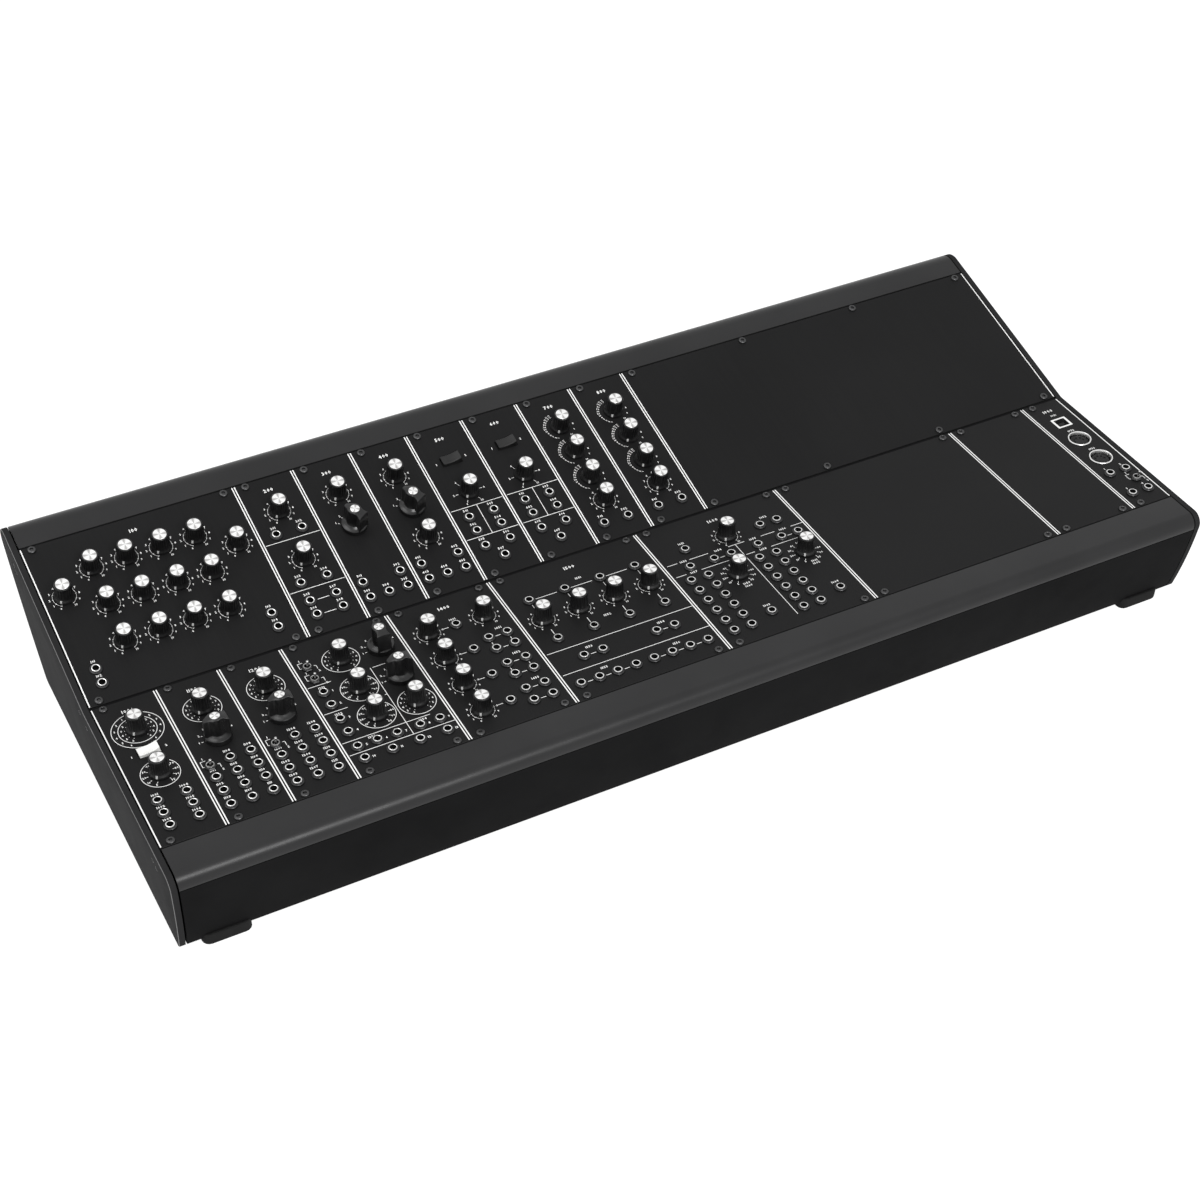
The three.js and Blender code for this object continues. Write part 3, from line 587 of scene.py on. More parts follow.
def rounded(low: Point, high: Point, radius: float, steps: int = 4) -> list[Point]:
    """Returns a rectangle with round corners, counterclockwise."""
    (x0, y0), (x1, y1) = low, high
    x0, y0, x1, y1 = x0 + radius, y0 + radius, x1 - radius, y1 - radius
    corners = ((x1, y0, -90), (x1, y1, 0), (x0, y1, 90), (x0, y0, 180))
    return [
        polar((x, y), radius, math.radians(start + 90 * k / steps))
        for x, y, start in corners for k in range(steps + 1)
    ]


def plate(
    outline: Sequence[Point], holes: Sequence[Sequence[Point]], bottom: float, top: float, chamfer: float,
) -> Body:
    """Makes a plate with convex holes right through it.

    Args:
        outline: The plate's outline, counterclockwise.
        holes: The outlines of its holes, counterclockwise.
        bottom: The height of its underside.
        top: The height of its face.
        chamfer: The chamfer round its face.

    Returns:
        The closed plate.
    """
    flat: list[Point] = []
    loops = []
    for path in (inset(outline, chamfer), *holes):
        loops.append(range(len(flat), len(flat) + len(path)))
        flat += path
    edges = [pair for loop in loops for pair in pairs(loop)]
    inside_only, tolerance = 1, 1e-5
    corners = [Vector(p) for p in flat]
    _, _, found, origins, _, _ = delaunay_2d_cdt(corners, edges, [], inside_only, tolerance, True)
    faces = [tuple(origins[i][0] for i in face) for face in found]
    owner = {i: number for number, loop in enumerate(loops) for i in loop}
    kept = [face for face in faces if not owner[face[0]] or len({owner[i] for i in face}) > 1]
    count, rim = len(flat), len(outline)
    points = [(x, y, top) for x, y in flat]
    points += [(x, y, bottom) for x, y in [*outline, *flat[rim:]]]
    points += [(x, y, top - chamfer) for x, y in outline]
    made = kept + [tuple(i + count for i in reversed(face)) for face in kept]
    for i, j in pairs(range(rim)):
        shoulder, next_shoulder = 2 * count + i, 2 * count + j
        made += [(i, shoulder, next_shoulder, j), (shoulder, count + i, count + j, next_shoulder)]
    made += [(a, b, count + b, count + a) for loop in loops[1:] for a, b in pairs(loop)]
    body = Body()
    body.add(points, made)
    return body


def linked(name: str, data: Any) -> bpy.types.Object:
    """Returns a new object of the scene with some data."""
    item = bpy.data.objects.new(name, data)
    bpy.context.scene.collection.objects.link(item)
    return item


def plain(holder: bpy.types.Object) -> bpy.types.Mesh:
    """Returns what an object makes as a plain mesh, and removes the object with its modifiers."""
    depsgraph = bpy.context.evaluated_depsgraph_get()
    made = bpy.data.meshes.new_from_object(
        holder.evaluated_get(depsgraph), preserve_all_data_layers=True, depsgraph=depsgraph,
    )
    holder.modifiers.clear()
    bpy.data.objects.remove(holder)
    return made


def mesh_of(name: str, body: Body, matrix: Matrix | None = None, angle: float = 0.0) -> bpy.types.Mesh:
    """Makes a mesh of a body, with its faces pointing outwards.

    Args:
        name: The mesh's name.
        body: The body.
        matrix: What moves it.
        angle: Shades it smooth, except over edges sharper than this in degrees. 0 leaves it flat.

    Returns:
        The mesh.
    """
    mesh = bpy.data.meshes.new(name)
    mesh.from_pydata(body.points, [], body.faces)
    if matrix is not None:
        mesh.transform(matrix)
    mesh.validate()
    work = bmesh.new()
    work.from_mesh(mesh)
    bmesh.ops.recalc_face_normals(work, faces=work.faces)
    work.to_mesh(mesh)
    work.free()
    if angle:
        soften(mesh, angle)
    return mesh


def soften(mesh: bpy.types.Mesh, angle: float) -> None:
    """Shades a mesh smooth, except over edges sharper than an angle in degrees."""
    mesh.shade_smooth()
    mesh.set_sharp_from_angle(angle=math.radians(angle))


def cut(mesh: bpy.types.Mesh, tool: Body, matrix: Matrix, angle: float) -> bpy.types.Mesh:
    """Returns a mesh less the solids of a body that is moved by a matrix, softened over an angle."""
    holder = linked("cut", mesh)
    cutter = linked("cutter", mesh_of("cutter", tool, matrix))
    modifier = holder.modifiers.new("cut", "BOOLEAN")
    modifier.operation, modifier.solver, modifier.object = "DIFFERENCE", "EXACT", cutter
    made = plain(holder)
    bpy.data.objects.remove(cutter)
    soften(made, angle)
    return made


def settle(
    name: str, mesh: bpy.types.Mesh, coat: Coat, body: str = "case", stands_for: Sequence[str] = (),
    surface: Surface | None = None,
) -> None:
    """Makes a finished piece of a mesh and sets it on a body of the frame.

    Args:
        name: The piece's name.
        mesh: Its mesh, in metres, in place.
        coat: Its finish.
        body: The body that it moves with.
        stands_for: The nodes that it replaces.
        surface: The record's slot, if it isn't the finish's own. It is not used.
    """
    surface = surface or coat.surface
    mesh.materials.clear()
    mesh.materials.append(coat.material)
    piece = linked(name, mesh)
    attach(piece, body)
    if stands_for:
        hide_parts(*stands_for)
    LOG.info("%s: %d faces on %s", name, len(mesh.polygons), body)


class Growth(Tree):
    """A Geometry Nodes tree that sets something on points, and the way to run it once."""

    def __init__(self, name: str, inputs: dict[str, tuple[str, Any]]) -> None:
        """Starts a tree.

        Args:
            name: The tree's name.
            inputs: Each input's name, with its socket type and its usual value.
        """
        self.tree = bpy.data.node_groups.new(name, "GeometryNodeTree")
        self.tree.interface.new_socket("Geometry", in_out="INPUT", socket_type="NodeSocketGeometry")
        self.ids: dict[str, str] = {}
        for label, (kind, value) in {**inputs, "Finish": ("Material", None)}.items():
            socket = self.tree.interface.new_socket(label, in_out="INPUT", socket_type="NodeSocket" + kind)
            if value is not None:
                socket.default_value = value
            self.ids[label] = socket.identifier
        self.tree.interface.new_socket("Geometry", in_out="OUTPUT", socket_type="NodeSocketGeometry")
        self.entry = self.node("NodeGroupInput")

    def given(self, label: str) -> bpy.types.NodeSocket:
        """Returns the tree's input of that name."""
        return self.entry.outputs[label]

    def first(self, kind: str, values: dict | None = None, **settings: Any) -> bpy.types.NodeSocket:
        """Adds a node and returns its first output."""
        return self.node(kind, values, **settings).outputs[0]

    def end(self, instance: bpy.types.NodeSocket) -> None:
        """Ends the tree: an instance on each point, turned as the point says, made real and finished."""
        turn = self.first("GeometryNodeInputNamedAttribute", {"Name": "turn"}, data_type="FLOAT_VECTOR")
        copies = self.first("GeometryNodeInstanceOnPoints", {
            "Points": self.given("Geometry"), "Instance": instance,
            "Rotation": self.first("FunctionNodeEulerToRotation", {0: turn}),
        })
        real = self.first("GeometryNodeRealizeInstances", {0: copies})
        coated = self.first("GeometryNodeSetMaterial", {"Geometry": real, "Material": self.given("Finish")})
        self.node("NodeGroupOutput", {0: coated})

    def run(self, name: str, places: Sequence[Matrix], coat: Coat, **values: Any) -> bpy.types.Mesh:
        """Runs the tree on one loose point for each place.

        Args:
            name: The new mesh's name.
            places: Where the points go, in metres, and how what stands on them is turned.
            coat: The finish.
            values: The tree's other inputs, with underscores for spaces.

        Returns:
            The plain mesh.
        """
        seeds = bpy.data.meshes.new("seeds")
        seeds.from_pydata([tuple(m.translation) for m in places], [], [])
        turns = seeds.attributes.new("turn", "FLOAT_VECTOR", "POINT")
        turns.data.foreach_set("vector", [v for m in places for v in m.to_euler()])
        holder = linked(name + "_seeds", seeds)
        modifier = holder.modifiers.new("growth", "NODES")
        modifier.node_group = self.tree
        for label, value in {**values, "Finish": coat.material}.items():
            modifier[self.ids[label.replace("_", " ")]] = value
        grown = plain(holder)
        grown.name = name
        return grown


class Copies(Growth):
    """Sets copies of one template on points, each turned as its point says."""

    def __init__(self) -> None:
        """Builds the tree."""
        super().__init__("placed_copies", {"Template": ("Object", None)})
        values = {"Object": self.given("Template")}
        template = self.node("GeometryNodeObjectInfo", values, transform_space="ORIGINAL")
        self.end(template.outputs["Geometry"])

    def set_out(
        self, name: str, template: Body, places: Sequence[Matrix], coat: Coat, angle: float = 32.0,
        mark_spots: bool = False, **settled: Any,
    ) -> None:
        """Makes one piece of copies of a template.

        Args:
            name: The piece's name.
            template: One copy, in millimetres round its own origin.
            places: Where the copies go, in metres.
            coat: Their finish.
            angle: Edges sharper than this stay sharp.
            mark_spots: True to let each copy carry its own coordinates in metres, as "spot".
            settled: The piece's body, the nodes that it stands for and its surface, as settle takes them.
        """
        mesh = mesh_of(name + "_template", template, Matrix.Scale(MM, 4), angle)
        if mark_spots:
            spots = mesh.attributes.new("spot", "FLOAT_VECTOR", "POINT")
            spots.data.foreach_set("vector", [v for p in mesh.vertices for v in p.co])
        holder = linked(name + "_template", mesh)
        grown = self.run(name, places, coat, Template=holder)
        bpy.data.objects.remove(holder)
        settle(name, grown, coat, **settled)


class DialScale(Growth):
    """A dial's printed arc and the ticks along its radius, on each of a set of points."""

    def __init__(self) -> None:
        """Builds the tree."""
        super().__init__("dial_scale", {
            "Radius": ("Float", 0.008), "Sweep": ("Float", math.radians(290)), "Ticks": ("Int", 11),
            "Tick Length": ("Float", 0.001), "Tick Width": ("Float", 0.0003), "Line Width": ("Float", 0.0002),
            "Arc": ("Bool", True),
        })
        half_turn = {0: self.given("Sweep"), 1: -0.5, 2: math.pi / 2}
        arc = {
            "Radius": self.given("Radius"), "Sweep Angle": self.given("Sweep"),
            "Start Angle": self.first("ShaderNodeMath", half_turn, operation="MULTIPLY_ADD"),
        }
        line = self.first("GeometryNodeCurveArc", {"Resolution": 40, **arc}, mode="RADIUS")
        outline = {"Width": self.given("Line Width"), "Height": INK_HEIGHT * MM}
        ribbon = self.first("GeometryNodeCurveToMesh", {
            "Curve": self.first("GeometryNodeSetCurveNormal", {0: line}, mode="Z_UP"),
            "Profile Curve": self.first("GeometryNodeCurvePrimitiveQuadrilateral", outline, mode="RECTANGLE"),
            "Fill Caps": True,
        })
        outward = {"Vector": self.first("GeometryNodeInputPosition")}
        size = {0: self.given("Tick Length"), 1: self.given("Tick Width"), 2: INK_HEIGHT * MM}
        ticks = self.first("GeometryNodeInstanceOnPoints", {
            "Points": self.first("GeometryNodeCurveArc", {"Resolution": self.given("Ticks"), **arc}, mode="RADIUS"),
            "Instance": self.first("GeometryNodeMeshCube", {"Size": self.first("ShaderNodeCombineXYZ", size)}),
            "Rotation": self.first("FunctionNodeAlignRotationToVector", outward, axis="X"),
        })
        shown = {"Switch": self.given("Arc"), "True": ribbon}
        chosen = self.first("GeometryNodeSwitch", shown, input_type="GEOMETRY")
        both = self.node("GeometryNodeJoinGeometry", {0: chosen})
        self.tree.links.new(ticks, both.inputs[0])
        self.end(both.outputs[0])


# Layout


BLANK = -1
BOTH_WAYS = (6, 5, 4, 3, 2, 1, 0, 1, 2, 3, 4, 5, 6)
WIDTHS = (5, *range(10, 91, 10), 95)
FAN_VALUES = (500, 200, 100, 80, 50, 30, 20, 10, 8, 5, 3, 2, 1)
FAN_START_DEG = 106
FAN_STEP_DEG = 11
NUMBER_STEP = 100
FIRST_NOTE = 51


@dataclass(frozen=True)
class DialPrint:
    """The scale round a knob: numbers, rings with a gap in them from one angle to another, and ticks."""

    values: tuple[int, ...] = tuple(range(11))
    reach: float = 9.5
    rings: tuple[float, ...] = ()
    gap: Point = (45.0, 107.0)
    tick: float = 0.8
    tick_reach: float = 7.4
    sweep: float = 300.0
    arc: bool = False
    outer_reach: float = 0.0
    fan: bool = False


class Dial(Enum):
    """The kinds of printed scale."""

    ARC = DialPrint(arc=True)
    SPARSE = DialPrint(tuple(range(0, 11, 2)), 10.9, tick=1.8, tick_reach=8.6)
    RING = DialPrint(BOTH_WAYS, 9.8, (11.7,), tick=0.5, tick_reach=7.7, sweep=293.0)
    SPARSE_RING = DialPrint(WIDTHS, 9.9, (11.7,), tick=1.2, tick_reach=8.0)
    DOUBLE = DialPrint(BOTH_WAYS, 9.7, (11.6, 15.7), (60.0, 103.0), 0.5, 7.7, 293.0, outer_reach=13.7)
    FAN = DialPrint((BLANK,) * 7 + (7, 8, 9, 10), 9.7, tick=0.0, fan=True)
    STEPS = DialPrint(WIDTHS, 10.2, tick=1.2, tick_reach=8.2)


def across(heights: float | Sequence[float], *ends: float) -> tuple[Stroke, ...]:
    """Returns level strokes between pairs of ends, at heights below the panel's top edge."""
    rows = (heights,) if isinstance(heights, (int, float)) else heights
    return tuple((a, height, b, height) for height in rows for a, b in zip(ends[::2], ends[1::2]))


def down(places: float | Sequence[float], *ends: float) -> tuple[Stroke, ...]:
    """Returns upright strokes between pairs of ends, at distances from the panel's left edge."""
    return tuple((x0, y0, x1, y1) for y0, x0, y1, x1 in across(places, *ends))


def one(x: float, y: float) -> Run:
    """Returns a run of one place."""
    return x, y, x, y, 1


def row(y: float, x0: float, x1: float, count: int = 2) -> Run:
    """Returns a level run."""
    return x0, y, x1, y, count


def column(x: float, y0: float, y1: float, count: int = 2) -> Run:
    """Returns an upright run."""
    return x, y0, x, y1, count


@dataclass(frozen=True)
class Module:
    """One panel and what stands on it, with places as shares of its width and height.

    Lines, labels and notes are in millimetres. A label is the offset of each jack's number from the
    jack, and labelled says how many jacks have one. The numbers are short on panels with short set.
    """

    node: str
    upper: bool
    hp: int = 8
    knobs: tuple[Run, ...] = ()
    turning: tuple[str, ...] = ()
    jacks: tuple[Run, ...] = ()
    wings: tuple[tuple[str, float, float, float], ...] = ()
    rockers: tuple[tuple[str, float, float], ...] = ()
    toggles: tuple[tuple[str, float, float], ...] = ()
    usb: tuple[Point, ...] = ()
    din: tuple[Point, ...] = ()
    dials: tuple[Dial, ...] = ()
    lines: tuple[Stroke, ...] = ()
    label: Point = (0.0, 6.1)
    labelled: int = 99
    short: bool = False
    notes: tuple[Point, ...] = ()

    @property
    def width(self) -> float:
        """Returns the panel's width."""
        return self.hp * HP

    def spot(self, x: float, y: float) -> Point:
        """Returns one place, in millimetres on the panel."""
        return x * self.width, -y * PANEL_HEIGHT

    def at(self, items: Sequence[tuple]) -> list[Point]:
        """Returns the places of items whose last two values are shares, in millimetres on the panel."""
        return [self.spot(*item[-2:]) for item in items]

    def spots(self, runs: Sequence[Run]) -> list[Point]:
        """Returns the places of straight runs, in millimetres on the panel."""
        places = []
        for x0, y0, x1, y1, count in runs:
            shares = [i / max(1, count - 1) for i in range(count)]
            places += [self.spot(x0 + (x1 - x0) * share, y0 + (y1 - y0) * share) for share in shares]
        return places

    def dial(self, index: int) -> Dial:
        """Returns the scale round a knob."""
        return self.dials[index] if index < len(self.dials) else Dial.ARC


def pass_filter(kind: str, knobs: Run, *turning: str) -> Module:
    """Returns one of the two filters with a selector."""
    return Module(
        f"module_{kind}_filter", True, knobs=(knobs,), turning=turning,
        wings=((f"selector_{kind}", 1 / 12, 0.5, 0.446),),
        jacks=(row(0.793, 0.175, 0.81), row(0.89, 0.175, 0.81, 3)),
    )


def amplifier(number: int) -> Module:
    """Returns one of the two amplifiers."""
    return Module(
        f"module_amplifier_{number}", True, knobs=(one(0.5, 0.451),), turning=(f"knob_amplifier_{number}",),
        rockers=((f"rocker_amplifier_{number}", 0.5, 0.229),),
        jacks=(column(0.278, 0.608, 0.701), column(0.715, 0.608, 0.701), row(0.803, 0.278, 0.715), one(0.495, 0.89)),
        dials=(Dial.SPARSE,),
        lines=across((69.7, 94.9), 2, 39) + down(20.3, 69.7, 94.9),
    )


def envelope(number: int) -> Module:
    """Returns one of the two envelopes."""
    return Module(
        f"module_envelope_{number}", True, knobs=(column(0.5, 0.228, 0.59, 3), one(0.5, 0.753)),
        turning=(f"knob_envelope_{number}_attack",), dials=(Dial.FAN,) * 3, jacks=(row(0.89, 0.278, 0.715),),
    )


def oscillator(number: int) -> Module:
    """Returns one of the two narrow oscillators."""
    return Module(
        f"module_oscillator_{number}", False, knobs=(one(0.5, 0.227),), turning=(f"knob_oscillator_{number}",),
        wings=((f"selector_oscillator_{number}", 1 / 4, 0.5, 0.446),),
        toggles=((f"toggle_oscillator_{number}", 0.182, 0.618),),
        jacks=(column(0.182, 0.698, 0.89, 3), column(0.502, 0.603, 0.89, 4), column(0.82, 0.603, 0.89, 4)),
        dials=(Dial.RING,), label=(0.0, 7.0),
    )


MODULES = (
    Module(
        "module_filter_bank", True, 28,
        knobs=(row(0.3455, 0.1, 0.9), *(row(y, 0.261, 0.741, 4) for y in (0.227, 0.462, 0.697))),
        turning=("knob_filter_bank_low",),
        jacks=(column(0.096, 0.803, 0.89), column(0.897, 0.803, 0.89)),
    ),
    Module(
        "module_filters", True, knobs=(column(0.5, 0.227, 0.547),),
        turning=("knob_filters_upper", "knob_filters_lower"),
        jacks=(
            row(0.364, 0.278, 0.715), row(0.685, 0.278, 0.715), column(0.278, 0.803, 0.89), column(0.715, 0.803, 0.89),
        ),
        lines=across((52.7, 93.3), 1.8, 38.9) + across((103.2, 114.4), 16.3, 24.1),
    ),
    pass_filter("high_pass", one(0.5, 0.227), "knob_high_pass"),
    pass_filter("low_pass", column(0.5, 0.227, 0.643), "knob_low_pass_upper", "knob_low_pass_lower"),
    amplifier(1),
    amplifier(2),
    envelope(1),
    envelope(2),
    Module("blank_panel_upper", True, 56),
    Module(
        "module_oscillator_driver", False, knobs=(column(0.5, 0.226, 0.549),),
        turning=("knob_driver_frequency", "knob_driver_width"),
        rockers=(("rocker_driver_range", 0.5, 0.389),),
        jacks=(column(0.278, 0.719, 0.89, 3), column(0.715, 0.719, 0.89, 3)),
        dials=(Dial.DOUBLE, Dial.SPARSE_RING),
    ),
    oscillator(1),
    oscillator(2),
    Module(
        "module_voltage_oscillator", False, 14,
        knobs=(one(0.423, 0.203), one(0.423, 0.434), row(0.642, 0.423, 0.793)),
        turning=("knob_voltage_oscillator_pitch",),
        wings=(
            ("selector_voltage_oscillator_range", 0.0, 0.793, 0.214),
            ("selector_voltage_oscillator_wave", 1 / 4, 0.793, 0.448),
        ),
        toggles=(
            ("toggle_voltage_oscillator_upper", 0.121, 0.192), ("toggle_voltage_oscillator_lower", 0.121, 0.288),
        ),
        jacks=(
            column(0.128, 0.39, 0.487), column(0.128, 0.596, 0.693),
            row(0.804, 0.128, 0.486, 3), row(0.804, 0.697, 0.876), row(0.891, 0.128, 0.877, 4),
        ),
        dials=(Dial.RING, Dial.SPARSE_RING, Dial.SPARSE_RING, Dial.RING),
        lines=across(42, 1.9, 17, 44.5, 53) + across(68.4, 1.9, 17, 41.5, 43) + across(96.7, 1.9, 58.5)
        + across(108.2, 1.9, 70.3) + down(43, 41.8, 107.8),
        label=(5.8, 0.0), short=True, notes=((9.6, 45.0), (10.0, 71.4), (20.0, 98.8), (53.0, 98.8)),
    ),
    Module(
        "module_mixer", False, 14, knobs=(column(0.239, 0.2265, 0.842, 4), one(0.775, 0.2265)),
        turning=("knob_mixer_channel_1",),
        jacks=(
            column(0.503, 0.2265, 0.842, 4),
            *(column(x, *ends) for ends in ((0.39, 0.479), (0.597, 0.685), (0.802, 0.891)) for x in (0.682, 0.861)),
        ),
        lines=across((29.1, 55.8, 82.1, 108.2), 25.7, 30.6)
        + across((50.1, 61.6), 53.1, 56.6) + down((48.5, 61.2), 54.7, 57)
        + across((76.7, 88), 53.1, 56.6) + down((48.5, 61.2), 81.3, 83.4) + across((103.1, 114.5), 53.1, 56.6),
        labelled=1, notes=((58.0, 43.5), (58.0, 69.8), (58.0, 96.4)),
    ),
    Module(
        "module_attenuators", False, 21, knobs=(row(0.387, 0.146, 0.858, 4),), turning=("knob_attenuator_1",),
        jacks=(
            row(0.228, 0.146, 0.858, 4), row(0.547, 0.146, 0.858, 4), row(0.719, 0.211, 0.334),
            row(0.719, 0.689, 0.808), row(0.89, 0.087, 0.918, 8),
        ),
        lines=across(29.3, 20.1, 35.2, 45.4, 60.5, 70.7, 85.8) + across((81, 102.8), 2.6, 105.3)
        + across(92.4, 27.2, 30.9, 78.2, 81.5)
        + across(114.4, 13.9, 17.4, 26.6, 30, 39.2, 42.7, 64.6, 68, 77.2, 80.7, 89.9, 93.3)
        + down((15.6, 40.9, 66.2, 91.5), 33.8, 37.6, 60.5, 65.4),
        labelled=0, notes=((53.7, 22.7), (53.7, 63.6), (29.2, 85.7), (80.0, 85.7), (28.7, 107.3), (79.1, 107.7)),
    ),
    Module(
        "module_interface", False, 21, knobs=(one(0.5, 0.227), row(0.52, 0.38, 0.853)),
        turning=("knob_interface_level",),
        dials=(Dial.ARC, Dial.STEPS, Dial.STEPS),
        jacks=(
            one(0.207, 0.229), row(0.229, 0.737, 0.857), one(0.153, 0.364), row(0.364, 0.32, 0.439),
            one(0.629, 0.364), row(0.364, 0.796, 0.915),
            *(column(x, 0.462, 0.89, 6) for x in (0.0945, 0.213, 0.57, 0.689)), one(0.38, 0.847), one(0.858, 0.847),
        ),
        lines=across(39.4, 3.3, 10.7, 19.7, 33.6, 48.7, 60.9, 73.5, 83.9, 96.3, 105.2) + down(54, 39.4, 118.4)
        + across(51.9, 3.2, 10.6, 21.8, 42.4, 55.3, 61.7, 74.1, 94.2) + across(46.8, 38.8, 42.2, 89.6, 92.9),
        labelled=0,
        notes=(
            (22.8, 22.5), (85.0, 22.5), (15.2, 39.4), (41.0, 39.4), (67.2, 39.4), (90.0, 39.4), (16.2, 51.9),
            (67.9, 51.9), (40.8, 77.2), (40.8, 79.9), (91.5, 77.2), (91.5, 79.9), (40.9, 102.0), (91.7, 102.0),
        ),
    ),
    Module("blank_panel_lower_wide", False, 28),
    Module("blank_panel_lower_narrow", False, 12),
    Module(
        "module_midi", False, 6, toggles=(("toggle_midi", 0.71, 0.797),), usb=((0.53, 0.2),),
        din=((0.51, 0.368), (0.51, 0.556)), jacks=(row(0.7, 0.302, 0.727), row(0.891, 0.302, 0.727)),
        short=True, notes=((16.0, 16.2), (16.0, 36.6), (16.0, 60.6)),
    ),
)


def joint_of(name: str) -> dict[str, Any]:
    """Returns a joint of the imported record."""
    return next(joint for joint in frame["joints"] if joint["name"] == name)


class Rows:
    """The frames of the two rows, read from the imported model, and each module's place in them."""

    def __init__(self) -> None:
        """Measures the rows."""
        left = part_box("module_oscillator_driver")[0][0] - JOIN_GAP / 2 * MM
        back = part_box("module_midi")[1][1]
        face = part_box("blank_panel_lower_narrow")[1][2]
        lower = Matrix.Translation((left, back, face)) @ Matrix.Scale(MM, 4)
        lift = Matrix.Translation((0, UPPER_END * math.cos(ROW_TILT), UPPER_END * math.sin(ROW_TILT)))
        self.matrices = {False: lower, True: lower @ lift @ Matrix.Rotation(ROW_TILT, 4, "X")}
        self.lefts: dict[str, float] = {}
        filled = {False: 0, True: 0}
        for module in MODULES:
            self.lefts[module.node] = filled[module.upper] * HP
            filled[module.upper] += module.hp

    def frame_of(self, module: Module, spot: Point = (0.0, 0.0), lift: float = 0.0) -> Matrix:
        """Returns the matrix to the object's metres from millimetres round a place on a panel."""
        corner = self.matrices[module.upper] @ Matrix.Translation((self.lefts[module.node], 0, 0))
        return corner @ Matrix.Translation((*spot, lift))

    def seat(self, module: Module, spot: Point, lift: float = 0.0, turn: float = 0.0) -> Matrix:
        """Returns the place of something that stands on a panel, turned about its axis, in metres."""
        matrix = self.frame_of(module, spot, lift) @ Matrix.Rotation(turn, 4, "Z")
        return Matrix.Translation(matrix.translation) @ matrix.to_euler().to_matrix().to_4x4()


# Case


@dataclass
class CaseProfile:
    """The case in side view: y towards the back and z up, from the lower row's back edge."""

    body_depth: float = 66.8
    nose_reach: float = 28.4
    nose_radius: float = 8.0
    seam_land: float = 1.3
    front_lean: float = 12.0
    front_bow: float = 1.8
    cover_reach: float = 36.5
    cover_radius: float = 13.0
    rear_seam_share: float = 1.85
    rear_lean: float = 43.9
    rear_bow: float = 4.5
    front_bottom_radius: float = 4.0
    rear_bottom_radius: float = 6.0
    bow_end: float = 0.93
    bow_steps: int = 9
    steps: int = 14
    seam: float = 1.0

    def on_upper(self, along: float, lift: float = 0.0) -> Point:
        """Returns a point on the upper row's plane."""
        c, s = math.cos(ROW_TILT), math.sin(ROW_TILT)
        return c * along - s * lift, s * along + c * lift

    def front(self, share: float) -> Point:
        """Returns a point of the front wall, from the nose's corner at 0 to the floor at 1."""
        bow = 4 * self.front_bow * share * (1 - share)
        return -(PANEL_HEIGHT + self.nose_reach) + self.front_lean * share - bow, -self.body_depth * share

    def rear(self, share: float) -> Point:
        """Returns a point of the back wall, from the cover's corner at 0 to the floor at 1."""
        y, z = self.on_upper(UPPER_END + self.cover_reach)
        bow = 4 * self.rear_bow * share * (1 - share)
        return y - self.rear_lean * share + bow, z - (z + self.body_depth) * share

    @property
    def rear_height(self) -> float:
        """Returns the height of the back wall."""
        return self.on_upper(UPPER_END + self.cover_reach)[1] + self.body_depth

    @property
    def front_seam(self) -> float:
        """Returns the share of the front wall at which the nose ends."""
        return (self.nose_radius + self.seam_land) / self.body_depth

    @property
    def rear_seam(self) -> float:
        """Returns the share of the back wall at which the cover ends."""
        return self.rear_seam_share * self.cover_radius / self.rear_height

    def bowed(self, wall: Callable[[float], Point], start: float) -> list[Point]:
        """Returns a bowed wall's points from a share of it to near its foot, without the first."""
        return [wall(start + (self.bow_end - start) * k / self.bow_steps) for k in range(1, self.bow_steps)]

    def nose_path(self) -> list[Point]:
        """Returns the nose's outer surface, from the panels' edge to the seam."""
        corner = (self.front(0.0), self.nose_radius)
        return fillet([(-(PANEL_HEIGHT + self.seam), 0.0), corner, self.front(self.front_seam)], self.steps)

    def cover_path(self) -> list[Point]:
        """Returns the cover's outer surface, from the seam to the panels' edge."""
        corner = (self.rear(0.0), self.cover_radius)
        return fillet([self.rear(self.rear_seam), corner, self.on_upper(UPPER_END + self.seam)], self.steps)

    def tray_path(self, gap: float) -> list[Point]:
        """Returns the tray's outer surface from the front seam to the rear one, short of both by a gap."""
        first = self.front_seam + gap / self.body_depth
        last = self.rear_seam + gap / self.rear_height
        path = [
            self.front(first), *self.bowed(self.front, first),
            (self.front(1.0), self.front_bottom_radius), (self.rear(1.0), self.rear_bottom_radius),
            *reversed(self.bowed(self.rear, last)), self.rear(last),
        ]
        return fillet(path, self.steps // 2)

    def outline(self) -> list[Point]:
        """Returns the cheeks' whole outline, counterclockwise."""
        return [(0.0, 0.0), *self.nose_path()[1:], *self.tray_path(0.0)[1:-1], *self.cover_path()[:-1]]


def fillet(path: Sequence[Any], steps: int) -> list[Point]:
    """Rounds the corners of an open path.

    Args:
        path: Points, or pairs of a corner point and its radius.
        steps: Steps in each rounding.

    Returns:
        The points of the rounded path.
    """
    plain_path = [p[0] if isinstance(p[0], tuple) else p for p in path]
    made: list[Point] = []
    for i, item in enumerate(path):
        if not isinstance(item[0], tuple):
            made.append(item)
            continue
        corner, radius = Vector(item[0]), item[1]
        before = (Vector(plain_path[i - 1]) - corner).normalized()
        after = (Vector(plain_path[i + 1]) - corner).normalized()
        half = math.acos(before.dot(after)) / 2
        centre = corner + (before + after).normalized() * (radius / math.sin(half))
        start = corner + before * (radius / math.tan(half)) - centre
        turn = math.copysign(math.pi - 2 * half, -(before.x * after.y - before.y * after.x))
        for k in range(steps + 1):
            c, s = math.cos(turn * k / steps), math.sin(turn * k / steps)
            made.append((centre.x + c * start.x - s * start.y, centre.y + s * start.x + c * start.y))
    return made


